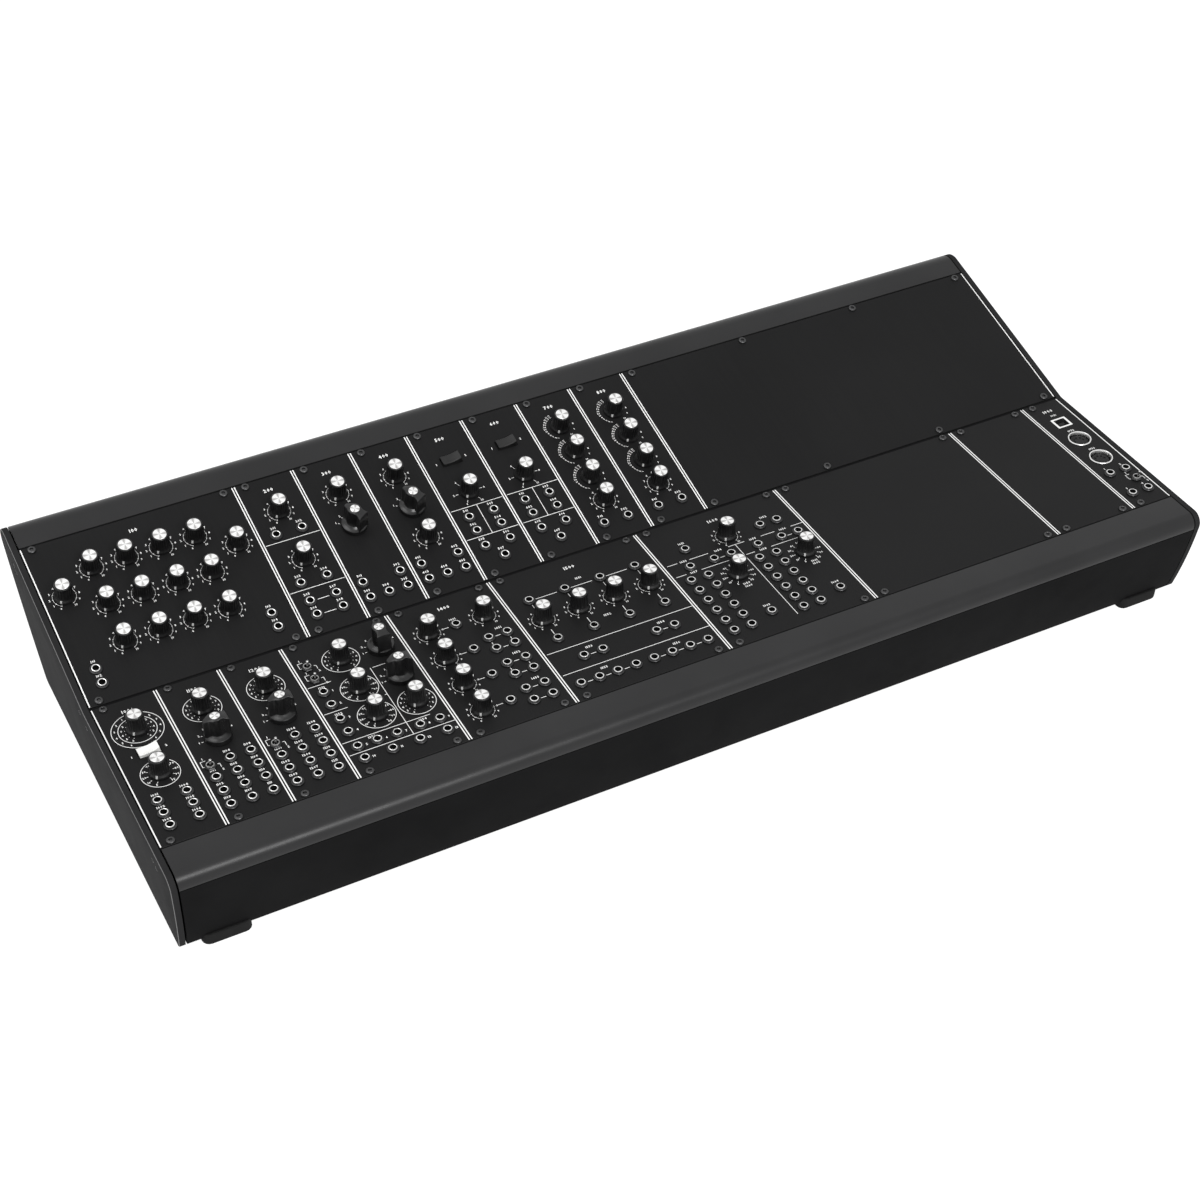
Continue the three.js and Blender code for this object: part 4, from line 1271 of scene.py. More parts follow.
def sheet(path: Sequence[Point], thickness: float) -> list[Point]:
    """Returns the closed section of a sheet that lies to the left of an open path."""
    inner = []
    for i, point in enumerate(path):
        a, b, c = Vector(path[max(0, i - 1)]), Vector(point), Vector(path[min(len(path) - 1, i + 1)])
        first = (b - a) if i else (c - b)
        second = (c - b) if i < len(path) - 1 else first
        n1, n2 = (Vector((-side.y, side.x)).normalized() for side in (first, second))
        mid = (n1 + n2).normalized()
        reach = thickness / mid.dot(n1)
        inner.append((point[0] + mid.x * reach, point[1] + mid.y * reach))
    return [*path, *reversed(inner)]


@dataclass
class Case:
    """The case: cheeks, nose, cover, tray, feet and the power entry in the back wall."""

    rows: Rows
    finishes: Finishes
    copies: Copies
    profile: CaseProfile = field(default_factory=CaseProfile)
    cheek_thickness: float = 4.0
    cheek_gap: float = 0.5
    cheek_edge: float = 0.6
    rim_lift: float = 0.02
    rim_sink: float = 0.2
    skin_gap: float = 0.6
    wall: float = 2.4
    tray_wall: float = 2.0
    tray_gap: float = 0.8
    flange: float = 9.0
    foot_length: float = 31.0
    foot_depth: float = 26.0
    foot_height: float = 3.2
    foot_wrap: float = 5.0
    foot_proud: float = 1.6
    foot_inset: float = 9.5
    foot_corner: float = 5.0
    foot_edge: float = 1.0
    foot_top_edge: float = 0.5
    foot_overlap: float = 0.2
    screw_radius: float = 1.9
    screw_sink: float = 0.8
    screw_spots: tuple[Point, ...] = (
        (130.8, 19.8), (128.0, 16.0), (11.4, -8.8), (-0.6, -12.1), (-122.8, -12.9), (-128.6, -14.4),
    )
    entry_half: Point = (7.3, 3.8)
    entry_room: float = 1.5
    entry_cut: float = 6.0
    entry_spacing: float = 30.0
    inlet_hole: float = 5.8
    lip_depths: Point = (-2.9, -0.7)
    lip_gap: float = 0.35
    lip_toe: float = 1.1

    @property
    def matrix(self) -> Matrix:
        """Returns the matrix from the case's millimetres to the object's metres."""
        return self.rows.matrices[False]

    def swept(self, section: Sequence[Point], start: float, end: float) -> Body:
        """Returns a section of y and z swept along x."""
        body = Body()
        body.stack([[(x, y, z) for y, z in section] for x in (start, end)])
        return body

    def cheek_root(self, side: int) -> float:
        """Returns where a cheek's inner face stands along x."""
        return -self.cheek_gap if side < 0 else ROW_WIDTH + self.cheek_gap

    def cheek(self, name: str, side: int) -> None:
        """Makes a cheek, rounded along its outer edge and sunk for its screws, with a light strip along the rounding
        as a painted highlight.
        """
        outline = self.profile.outline()
        root = self.cheek_root(side)
        body, sinks, rim = Body(), Body(), Body()

        def edge(share: float, lift: float = 0.0) -> list[Place]:
            """Returns the outline at a share of the rounding, lifted off it."""
            c, s = math.cos(math.pi / 2 * share), math.sin(math.pi / 2 * share)
            drawn = inset(outline, self.cheek_edge * (1 - c) - lift * c)
            x = root + side * (self.cheek_thickness - self.cheek_edge * (1 - s) + lift * s)
            return [(x, y, z) for y, z in drawn]

        # A thin strip skinned just over the rounding, in the light coat: a painted highlight along the edge.
        highlight_rings = [edge(share, self.rim_lift) for share in (0.25, 0.5, 0.75)]
        rim.stack([*highlight_rings, *(edge(share, -self.rim_sink) for share in (0.75, 0.25))], looped=True)
        rings = [[(root, y, z) for y, z in outline], *(edge(k / 4) for k in range(5))]
        body.stack(rings if side > 0 else list(reversed(rings)))
        face = root + side * self.cheek_thickness
        for spot in self.screw_spots:
            sink = circle(self.screw_radius, 20, spot)
            sinks.merge(self.swept(sink, *sorted((face - side * self.screw_sink, face + side))))
        mesh = cut(mesh_of(name, body, self.matrix), sinks, self.matrix, 25)
        settle(name + "_plate", mesh, self.finishes.cheek, stands_for=[name])
        settle(name + "_rim", mesh_of(name + "_rim", rim, self.matrix), self.finishes.edge)

    def skins(self) -> None:
        """Makes the nose, the cover and the tray, and the lip between the rows."""
        profile, coats = self.profile, self.finishes
        ends = self.skin_gap, ROW_WIDTH - self.skin_gap
        depth = -(PANEL_THICKNESS + JOIN_GAP + self.flange)
        nose = [(-(PANEL_HEIGHT + profile.seam), depth), *profile.nose_path()]
        cover = [*profile.cover_path(), profile.on_upper(UPPER_END + profile.seam, depth)]
        for name, skin in (("front_nose", nose), ("rear_cover", cover)):
            body = self.swept(sheet(skin, self.wall), *ends)
            body.merge(self.swept(self.rail(name), *ends))
            settle(name + "_skin", mesh_of(name, body, self.matrix, 28), coats.extrusion, stands_for=[name])
        tray = self.swept(sheet(profile.tray_path(self.tray_gap), self.tray_wall), *ends)
        mesh = cut(mesh_of("base_tray", tray, self.matrix), self.entry_tool(), self.entry_matrix(), 28)
        settle("base_tray_skin", mesh, coats.tray, stands_for=["base_tray"])
        (low, high), slope = self.lip_depths, KINK_GAP - self.lip_gap
        lip = [
            (self.lip_gap, low), (self.lip_toe, low), profile.on_upper(slope, low), profile.on_upper(slope, high),
            (self.lip_gap, high),
        ]
        mesh = mesh_of("kink_lip", self.swept(lip, 0.0, ROW_WIDTH), self.matrix)
        # The lip belongs to the extrusion but wears the tray's darker coat, so it carries painted shade in the crease
        # between the rows.
        settle("kink_lip", mesh, coats.tray, surface=Surface.EXTRUSION)

    def entry_matrix(self) -> Matrix:
        """Returns the matrix from millimetres on the back wall, at the power switch, to metres."""
        joint = joint_of("power_rocker_tilt")
        along, up = Vector((1, 0, 0)), Vector(joint["axis"])
        turn = Matrix((along, up, along.cross(up))).transposed().to_4x4()
        return Matrix.Translation(joint["pos_m"]) @ turn @ Matrix.Scale(MM, 4)

    def entry_tool(self) -> Body:
        """Returns what is cut from the back wall for the power switch and the inlet."""
        a, b = (half + self.entry_room for half in self.entry_half)
        hole, deep = self.inlet_hole, self.entry_cut
        tool = Body()
        tool.block(((-a, -b), (a, b)), -deep, deep)
        tool.lathe([(0, -deep), (hole, -deep), (hole, deep), (0, deep)], 32, (-self.entry_spacing, 0.0))
        return tool

    def entry(self) -> None:
        """Makes the power switch's housing and the inlet with its nut, on their board."""
        a, b = self.entry_half
        plastic, metal = Body(), Body()
        inner, wall, rim = (rounded((-a - d, -b - d), (a + d, b + d), 0.4 + d / 3, 3) for d in (0.0, 1.2, 2.8))
        plastic.skin([
            (inner, -4), (wall, -4.5), (wall, 0.3), (rim, 0.3), (rim, 1.1), (inset(rim, 0.4), 1.5), (inner, 1.5),
        ], looped=True)
        plastic.block(((-a, -b), (a, b)), -5, -4.2)
        centre = (-self.entry_spacing, 0.0)
        plastic.lathe([(3.2, -13.8), (5.5, -13.8), (5.5, 1.1), (5.2, 1.5), (3.5, 1.5), (3.2, 1.2)], 32, centre)
        plastic.block(((-46, -11), (16, 11)), -15.6, -14)
        metal.lathe([(5.52, 0.3), (7.5, 0.3), (7.5, 1.1), (7.1, 1.45), (5.52, 1.45)], 6, centre)
        metal.lathe([(0, -13.9), (1.0, -13.9), (1.0, -0.5), (0.6, 0.0), (0, 0.0)], 16, centre)
        for name, body, coat, nodes in (
            ("power_entry_housing", plastic, self.finishes.black, ["power_entry"]),
            ("power_entry_metal", metal, self.finishes.nickel, []),
        ):
            settle(name, mesh_of(name, body, self.entry_matrix(), 32), coat, stands_for=nodes)

    def rail(self, name: str) -> list[Point]:
        """Returns the section of the mounting rail that is one piece with the nose or the cover."""
        slit, half, lip, web, deep = 3.0, 1.6, 9.0, 2.4, self.flange
        drop = PANEL_THICKNESS + JOIN_GAP
        points = [
            (-web, 0), (slit - half, 0), (slit - half, -2), (0.2, -2), (0.2, -4.6), (5.8, -4.6), (5.8, -2),
            (slit + half, -2), (slit + half, 0), (lip, 0), (lip, -deep), (-web, -deep),
        ]
        if name == "front_nose":
            return [(-PANEL_HEIGHT + u, w - drop) for u, w in reversed(points)]
        return [self.profile.on_upper(UPPER_END - u, w - drop) for u, w in points]

    def feet(self) -> None:
        """Makes the four feet."""
        body, profile = Body(), self.profile
        bottom = -(profile.body_depth + self.foot_height)
        front = profile.front(1 - self.foot_wrap / profile.body_depth)[0] - self.foot_proud
        back = profile.rear(1.0)[0] - profile.rear_bottom_radius - self.foot_depth
        tops = ((front, -(profile.body_depth - self.foot_wrap)), (back, -profile.body_depth + self.foot_overlap))
        for x in (self.foot_inset, ROW_WIDTH - self.foot_inset - self.foot_length):
            for y, top in tops:
                outline = rounded((x, y), (x + self.foot_length, y + self.foot_depth), self.foot_corner)
                levels = []
                for angle in (math.pi / 2 * k / 4 for k in range(5)):
                    drawn = inset(outline, self.foot_edge * (1 - math.sin(angle)))
                    levels.append((drawn, bottom + self.foot_edge * (1 - math.cos(angle))))
                drawn = inset(outline, self.foot_top_edge)
                body.skin([*levels, (outline, top - self.foot_top_edge), (drawn, top)])
        settle("feet", mesh_of("feet", body, self.matrix, 32), self.finishes.foot)

    def cheek_screws(self) -> None:
        """Sets the sunk screws into the cheeks."""
        screw = turned([
            (0, -0.7), (1.8, -0.7), (1.8, -0.25), (1.65, -0.12), (0.95, -0.1), (0.85, -0.5), (0, -0.55),
        ], 20)
        places = []
        for side in (-1, 1):
            face = self.cheek_root(side) + side * self.cheek_thickness
            for spot in self.screw_spots:
                turn = Matrix.Rotation(side * math.pi / 2, 4, "Y")
                places.append(Matrix.Translation(self.matrix @ Vector((face, *spot))) @ turn)
        self.copies.set_out("cheek_screws", screw, places, self.finishes.steel, surface=Surface.CHEEK)

    def build(self) -> None:
        """Builds the case."""
        self.cheek("left_cheek", -1)
        self.cheek("right_cheek", 1)
        self.cheek_screws()
        self.skins()
        self.feet()
        self.entry()


# Panels


@dataclass
class Panels:
    """The module panels, their boards and their screws."""

    rows: Rows
    finishes: Finishes
    copies: Copies
    chamfer: float = 0.25
    edge_gap: float = 0.15
    jack_hole: float = 3.05
    shaft_hole: float = 3.5
    toggle_hole: float = 2.6
    din_hole: float = 7.15
    rocker_hole: Point = (7.3, 3.9)
    usb_hole: Point = (4.25, 3.9)
    board_side: float = 2.0
    board_ends: Point = (-115.5, -13.0)
    board_levels: Point = (-14.6, -13.0)
    header_middle: float = -64.25
    header_half: Point = (4.5, 10.0)
    header_bottom: float = -23.6
    jack_half: Point = (4.4, 4.4)
    jack_top: float = -2.05
    shaft_half: Point = (5.0, 5.0)
    shaft_top: float = -9.6
    screw_side: float = 7.5
    screw_end: float = 3.0
    narrow_hp: int = 8
    widest_screws: tuple[float, ...] = (7.5, 96.1, 187.6, 276.4)

    def holes(self, module: Module) -> list[list[Point]]:
        """Returns the outlines of a panel's holes."""
        round_holes = (
            (module.spots(module.jacks), self.jack_hole, 20),
            (module.spots(module.knobs) + module.at(module.wings), self.shaft_hole, 16),
            (module.at(module.toggles), self.toggle_hole, 16), (module.at(module.din), self.din_hole, 32),
        )
        found = [circle(radius, steps, spot) for spots, radius, steps in round_holes for spot in spots]
        found += [box(*about(spot, self.rocker_hole)) for spot in module.at(module.rockers)]
        return found + [box(*about(spot, self.usb_hole)) for spot in module.at(module.usb)]

    def panel(self, module: Module) -> None:
        """Makes one panel."""
        outline = box((self.edge_gap, -PANEL_HEIGHT), (module.width - self.edge_gap, 0.0))
        body = plate(outline, self.holes(module), -PANEL_THICKNESS, 0.0, self.chamfer)
        mesh = mesh_of(module.node, body, self.rows.frame_of(module))
        settle(module.node + "_panel", mesh, self.finishes.panel, stands_for=[module.node])

    def boards(self) -> None:
        """Makes the boards, the cable headers and the bodies of the controls behind the panels."""
        boards, parts = Body(), Body()
        (start, end), (under, over) = self.board_ends, self.board_levels
        for module in MODULES:
            if not module.jacks:
                continue
            board, lumps = Body(), Body()
            board.block(((self.board_side, start), (module.width - self.board_side, end)), under, over)
            header = about((module.width / 2, self.header_middle), self.header_half)
            lumps.block(header, self.header_bottom, under)
            for spot in module.spots(module.jacks):
                lumps.block(about(spot, self.jack_half), over, self.jack_top)
            for spot in module.spots(module.knobs) + module.at(module.wings):
                lumps.block(about(spot, self.shaft_half), over, self.shaft_top)
            boards.merge(board, self.rows.frame_of(module))
            parts.merge(lumps, self.rows.frame_of(module))
        settle("module_boards", mesh_of("module_boards", boards), self.finishes.board)
        settle("module_board_parts", mesh_of("module_board_parts", parts), self.finishes.black)

    def screws(self) -> None:
        """Sets the panel screws."""
        head = turned([
            (0, 0), (2.75, 0), (2.75, 0.55), (2.6, 0.9), (2.3, 1.15), (1.9, 1.28), (1.25, 1.32), (1.15, 1.2),
            (1.0, 0.3), (0, 0.2),
        ], 20)
        places = []
        for module in MODULES:
            xs = [self.screw_side]
            if module.node == "blank_panel_upper":
                xs = self.widest_screws
            elif module.hp > self.narrow_hp:
                xs.append(module.width - self.screw_side)
            ys = (-self.screw_end, -(PANEL_HEIGHT - self.screw_end))
            places += [self.rows.seat(module, (x, y)) for x in xs for y in ys]
        self.copies.set_out("panel_screws", head, places, self.finishes.steel)

    def build(self) -> None:
        """Builds the panels."""
        for module in MODULES:
            self.panel(module)
        self.boards()
        self.screws()


# Print


class Numerals:
    """The ten numerals as meshes one unit high, centred on their own middle."""

    gap: float = 0.2
    thickening: float = 0.026

    def __init__(self) -> None:
        """Traces the numerals."""
        self.shapes = {char: self.trace(char) for char in "0123456789"}

    def trace(self, char: str) -> tuple[np.ndarray, list[tuple[int, ...]], float]:
        """Returns a numeral's points, faces and width."""
        curve = bpy.data.curves.new("numeral", "FONT")
        curve.body = char
        curve.resolution_u = 1
        curve.extrude = 0.01
        curve.offset = self.thickening
        mesh = plain(linked("numeral", curve))
        work = bmesh.new()
        work.from_mesh(mesh)
        bmesh.ops.remove_doubles(work, verts=work.verts, dist=1e-5)
        work.verts.index_update()
        points = np.array([v.co[:] for v in work.verts])
        faces = [tuple(v.index for v in face.verts) for face in work.faces]
        work.free()
        bpy.data.meshes.remove(mesh)
        low, high = points.min(axis=0), points.max(axis=0)
        points = (points - (low + high) / 2) / (high[1] - low[1])
        return points, faces, (high[0] - low[0]) / (high[1] - low[1])


@dataclass
class Print:
    """The white print of both rows, gathered as thin closed slabs in each panel's millimetres."""

    rows: Rows
    finishes: Finishes
    numerals: Numerals
    edge_line: float = 0.74
    edge_inset: float = 0.84
    edge_length: float = 127.5
    rule: float = 0.38
    ring_steps: int = 48
    dial_height: float = 1.6
    fan_height: float = 1.3
    label_height: float = 1.8
    title_height: float = 2.8
    title_drop: float = 10.4
    mark_reach: float = 12.0
    mark_dash: Point = (9.4, 10.6)
    mark_width: float = 0.35
    tick_width: float = 0.32
    arc_width: float = 0.17
    usb_frame: tuple[Point, Point] = ((5.9, 5.3), (4.35, 4.0))
    rocker_numbers: tuple[Point, ...] = ((-10.8, -0.6), (10.8, 0.6))
    toggle_numbers: tuple[Point, ...] = ((-2.4, 8.4), (6.2, -4.6))
    brackets: tuple[tuple[Point, ...], ...] = (
        ((-1.1, 6.3), (-4.3, 6.3), (-4.3, 1.4), (-3.3, 1.4)), ((4.4, 0.7), (5.8, 0.7), (5.8, -2.7)),
    )

    def line(self, body: Body, start: Point, end: Point, width: float) -> None:
        """Adds a printed line."""
        a, b = Vector(start), Vector(end)
        along = (b - a).normalized()
        side = Vector((-along.y, along.x)) * (width / 2)
        outline = [a - side, b - side, b + side, a + side]
        body.skin([(outline, INK_LIFT), (outline, INK_LIFT + INK_HEIGHT)])

    def number(
        self, body: Body, value: int, centre: Point, height: float, turn: float = 0.0, flush: bool = False,
    ) -> None:
        """Adds a plain number.

        Args:
            body: What it is added to.
            value: The number.
            centre: Its middle, or the middle of its right edge.
            height: Its height.
            turn: How far it is turned, in radians.
            flush: True to end it at the given place.
        """
        shapes = [self.numerals.shapes[c] for c in str(value)]
        total = sum(s[2] for s in shapes) + self.numerals.gap * (len(shapes) - 1)
        x = -total if flush else -total / 2
        c, s = math.cos(turn), math.sin(turn)
        for points, faces, width in shapes:
            u = (points[:, 0] + x + width / 2) * height
            v = points[:, 1] * height
            z = INK_LIFT + INK_HEIGHT / 2 + np.sign(points[:, 2]) * INK_HEIGHT / 2
            body.add(np.stack([centre[0] + u * c - v * s, centre[1] + u * s + v * c, z], axis=1), faces)
            x += width + self.numerals.gap

    def around(
        self, body: Body, centre: Point, radius: float, values: Sequence[int], places: Sequence[float],
    ) -> None:
        """Adds upright numbers round a centre, at angles in degrees."""
        for value, place in zip(values, places):
            if value != BLANK:
                self.number(body, value, polar(centre, radius, math.radians(place)), self.dial_height)

    def beside(self, body: Body, spot: Point, offsets: Sequence[Point]) -> None:
        """Adds 1, 2 and so on at offsets from a place."""
        for value, (x, y) in enumerate(offsets, 1):
            self.number(body, value, (spot[0] + x, spot[1] + y), self.label_height)

    def dial(self, body: Body, centre: Point, kind: DialPrint) -> None:
        """Adds the numbers and rings of a scale."""
        step = kind.sweep / (len(kind.values) - 1)
        places = [90 + kind.sweep / 2 - step * i for i in range(len(kind.values))]
        self.around(body, centre, kind.reach, kind.values, places)
        if kind.outer_reach:
            self.around(body, centre, kind.outer_reach, kind.values, places)
        for radius in kind.rings:
            self.ring(body, centre, radius, math.radians(kind.gap[1]), math.radians(360 + kind.gap[0]))
        if kind.fan:
            for i, value in enumerate(FAN_VALUES):
                angle = math.radians(FAN_START_DEG + FAN_STEP_DEG * i)
                spot = polar(centre, kind.reach, angle)
                self.number(body, value, spot, self.fan_height, angle - math.pi, True)

    def ring(self, body: Body, centre: Point, radius: float, start: float, end: float) -> None:
        """Adds a printed arc."""
        near, far = radius - self.rule / 2, radius + self.rule / 2
        section = ((near, 0), (near, INK_HEIGHT), (far, INK_HEIGHT), (far, 0))
        angles = [start + (end - start) * k / self.ring_steps for k in range(self.ring_steps + 1)]
        body.stack([[(*polar(centre, r, angle), INK_LIFT + z) for r, z in section] for angle in angles])

    def switches(self, body: Body, module: Module) -> None:
        """Prints the marks of a panel's selectors, rockers and toggles."""
        for (name, turn, *_), spot in zip(module.wings, module.at(module.wings)):
            low, high = joint_of(name + "_turn")["range_deg"]
            count = round((high - low) / SELECTOR_STEP_DEG) + 1
            places = [90 + 360 * turn + high - SELECTOR_STEP_DEG * k for k in range(count)]
            self.around(body, spot, self.mark_reach, range(1, count + 1), places)
            for place in places:
                near, far = (polar(spot, reach, math.radians(place)) for reach in self.mark_dash)
                self.line(body, near, far, self.mark_width)
        for spot in module.at(module.rockers):
            self.beside(body, spot, self.rocker_numbers)
        for u, v in module.at(module.toggles):
            for path in self.brackets:
                for start, end in zip(path, path[1:]):
                    near, far = (u + start[0], v + start[1]), (u + end[0], v + end[1])
                    self.line(body, near, far, self.mark_width)
            self.beside(body, (u, v), self.toggle_numbers)

    def module(self, module: Module, index: int) -> Body:
        """Returns the print of one panel, without its dials' arcs and ticks.

        Args:
            module: The panel.
            index: The plain number at its head. The numbers at its jacks and notes count on from it.

        Returns:
            The print.
        """
        body = Body()
        low, high = -(PANEL_HEIGHT + self.edge_length) / 2, -(PANEL_HEIGHT - self.edge_length) / 2
        for x in (self.edge_inset, module.width - self.edge_inset):
            self.line(body, (x, low), (x, high), self.edge_line)
        for x0, y0, x1, y1 in module.lines:
            self.line(body, (x0, -y0), (x1, -y1), self.rule)
        if module.jacks:
            self.number(body, index, (module.width / 2, -self.title_drop), self.title_height)
        base = 1 if module.short else index + 1
        for value, (x, y) in enumerate(module.spots(module.jacks)[: module.labelled], base):
            self.number(body, value, (x + module.label[0], y + module.label[1]), self.label_height)
        for value, (x, y) in enumerate(module.notes, index + FIRST_NOTE):
            self.number(body, value, (x, -y), self.label_height)
        for i, spot in enumerate(module.spots(module.knobs)):
            self.dial(body, spot, module.dial(i).value)
        self.switches(body, module)
        for spot in module.at(module.usb):
            outer, inner = (rounded(*about(spot, half), 0.4, 1) for half in self.usb_frame)
            top = INK_LIFT + INK_HEIGHT
            body.skin([(inner, INK_LIFT), (outer, INK_LIFT), (outer, top), (inner, top)], looped=True)
        return body

    def build(self, scale: DialScale) -> None:
        """Prints both rows."""
        for upper, name in ((True, "upper"), (False, "lower")):
            body = Body()
            seats: dict[Dial, list[Matrix]] = {kind: [] for kind in Dial}
            for index, module in enumerate(MODULES, 1):
                if module.upper is not upper:
                    continue
                body.merge(self.module(module, NUMBER_STEP * index), self.rows.frame_of(module))
                for i, spot in enumerate(module.spots(module.knobs)):
                    seats[module.dial(i)].append(self.rows.seat(module, spot, INK_LIFT + INK_HEIGHT / 2))
            settle("print_" + name, mesh_of("print_" + name, body), self.finishes.ink)
            for kind, places in seats.items():
                dial = kind.value
                if not places or not dial.tick:
                    continue
                label = f"scale_{name}_{kind.name.lower()}"
                mesh = scale.run(
                    label, places, self.finishes.ink, Radius=dial.tick_reach * MM, Sweep=math.radians(dial.sweep),
                    Ticks=len(dial.values), Tick_Length=dial.tick * MM, Tick_Width=self.tick_width * MM,
                    Line_Width=self.arc_width * MM, Arc=dial.arc,
                )
                settle(label, mesh, self.finishes.ink)


# Controls


def flute(count: int, depth: float, low: float, high: float) -> Reach:
    """Returns a change of radius that cuts flutes between two heights."""

    def reach(radius: float, height: float, angle: float) -> float:
        """Returns the fluted radius."""
        if not low < height < high:
            return radius
        return radius - depth * (0.5 - 0.5 * math.cos(count * angle)) ** 0.7

    return reach


@dataclass
class KnobShape:
    """A small fluted knob with a spun disc let into its top and a pointer on its skirt."""

    height: float = 13.15
    disc: float = 4.3
    flutes: int = 20
    flute_depth: float = 0.42
    fluted: Point = (3.8, 12.0)
    pointer_half: float = 0.6
    pointer_proud: float = 0.06
    pointer_path: tuple[Point, ...] = ((5.75, 3.3), (6.08, 2.9), (6.58, 2.02), (6.74, 1.72), (6.74, 1.3))

    def body(self) -> Body:
        """Returns the black body."""
        d, h = self.disc, self.height
        return turned([
            (0, 0.45), (6.55, 0.45), (6.7, 0.6), (6.7, 1.75), (6.55, 2.0), (6.05, 2.9), (5.82, 3.35), (5.78, 3.7),
            (5.7, 4.4), (5.42, 11.4), (5.36, 12.1), (5.24, 12.6), (4.95, h - 0.2), (4.7, h - 0.1),
            (d + 0.08, h - 0.1), (d + 0.04, h - 0.5), (0, h - 0.5),
        ], self.flutes * 4, flute(self.flutes, self.flute_depth, *self.fluted))

    def top(self) -> Body:
        """Returns the spun disc."""
        d, h = self.disc, self.height
        return turned([(0, h - 0.6), (d, h - 0.6), (d, h - 0.12), (d - 0.12, h - 0.02), (d * 0.6, h), (0, h)], 40)

    def pointer(self) -> Body:
        """Returns the pointer's inlay on the skirt, at the top of the panel."""
        body, half, proud = Body(), self.pointer_half, self.pointer_proud
        body.stack([
            [(-half, r, z + proud), (half, r, z + proud), (half, r - 0.5, z - 0.3), (-half, r - 0.5, z - 0.3)]
            for r, z in self.pointer_path
        ])
        return body


@dataclass
class SelectorShape:
    """A winged selector knob: a coned skirt and a tall grip with a pointer end and a flared tail."""

    height: float = 17.4
    disc: float = 3.05
    rib: float = 0.24
    ribbed: float = 4.4
    fall: float = 0.42
    waist: float = 0.98
    brim: float = 0.3
    outline: tuple[Point, ...] = (
        (0.0, 8.0), (0.9, 7.9), (1.5, 7.3), (2.1, 6.0), (2.9, 4.6), (3.9, 3.2), (4.4, 1.8), (4.5, 0.4), (4.35, -1.0),
        (3.9, -2.3), (3.55, -3.4), (3.5, -4.4), (3.75, -5.6), (4.15, -6.6), (4.2, -7.05), (3.9, -7.25),
    )

    def grip(self) -> list[Point]:
        """Returns the grip's outline, smoothed through its points and ribbed along its flanks."""
        ring = [(-x, y) for x, y in self.outline[1:]] + [(x, y) for x, y in reversed(self.outline)]
        path: list[Point] = []
        for i in range(len(ring)):
            a, b, c, d = (Vector(ring[(i + k) % len(ring)]) for k in (-1, 0, 1, 2))
            for k in range(4):
                t = k / 4
                p = 0.5 * (2 * b + (c - a) * t + (2 * a - 5 * b + 4 * c - d) * t**2 + (3 * b - a - 3 * c + d) * t**3)
                rib = 1 - self.rib * (k % 2) / p.length if abs(p.y) < self.ribbed else 1.0
                path.append((p.x * rib, p.y * rib))
        return path

    def body(self) -> Body:
        """Returns the black body, whose top falls away from the disc to both tips."""
        body = turned([
            (0, 0.45), (8.4, 0.45), (8.55, 0.6), (8.5, 3.3), (8.3, 3.6), (7.9, 3.75), (7.0, 4.0), (6.2, 4.6),
            (5.4, 5.2), (0, 5.3),
        ], 56)
        ring = self.grip()
        hub = self.disc + self.brim
        rings = [[(x * grow, y * grow, z) for x, y in ring] for z, grow in ((2.2, 1.05), (5.5, 1.02))]
        for drawn, drop in ((0.0, 0.3), (0.2, 0.06)):
            rings.append([
                (x * self.waist, y * self.waist, self.height - drop - self.fall * max(0.0, math.hypot(x, y) - hub))
                for x, y in inset(ring, drawn)
            ])
        rings.append([(x * hub / math.hypot(x, y), y * hub / math.hypot(x, y), self.height) for x, y in ring])
        body.stack(rings)
        return body

    def top(self) -> Body:
        """Returns the spun disc."""
        d, h = self.disc, self.height
        return turned([(0, h - 0.3), (d, h - 0.3), (d, h + 0.02), (d - 0.12, h + 0.08), (0, h + 0.09)], 36)


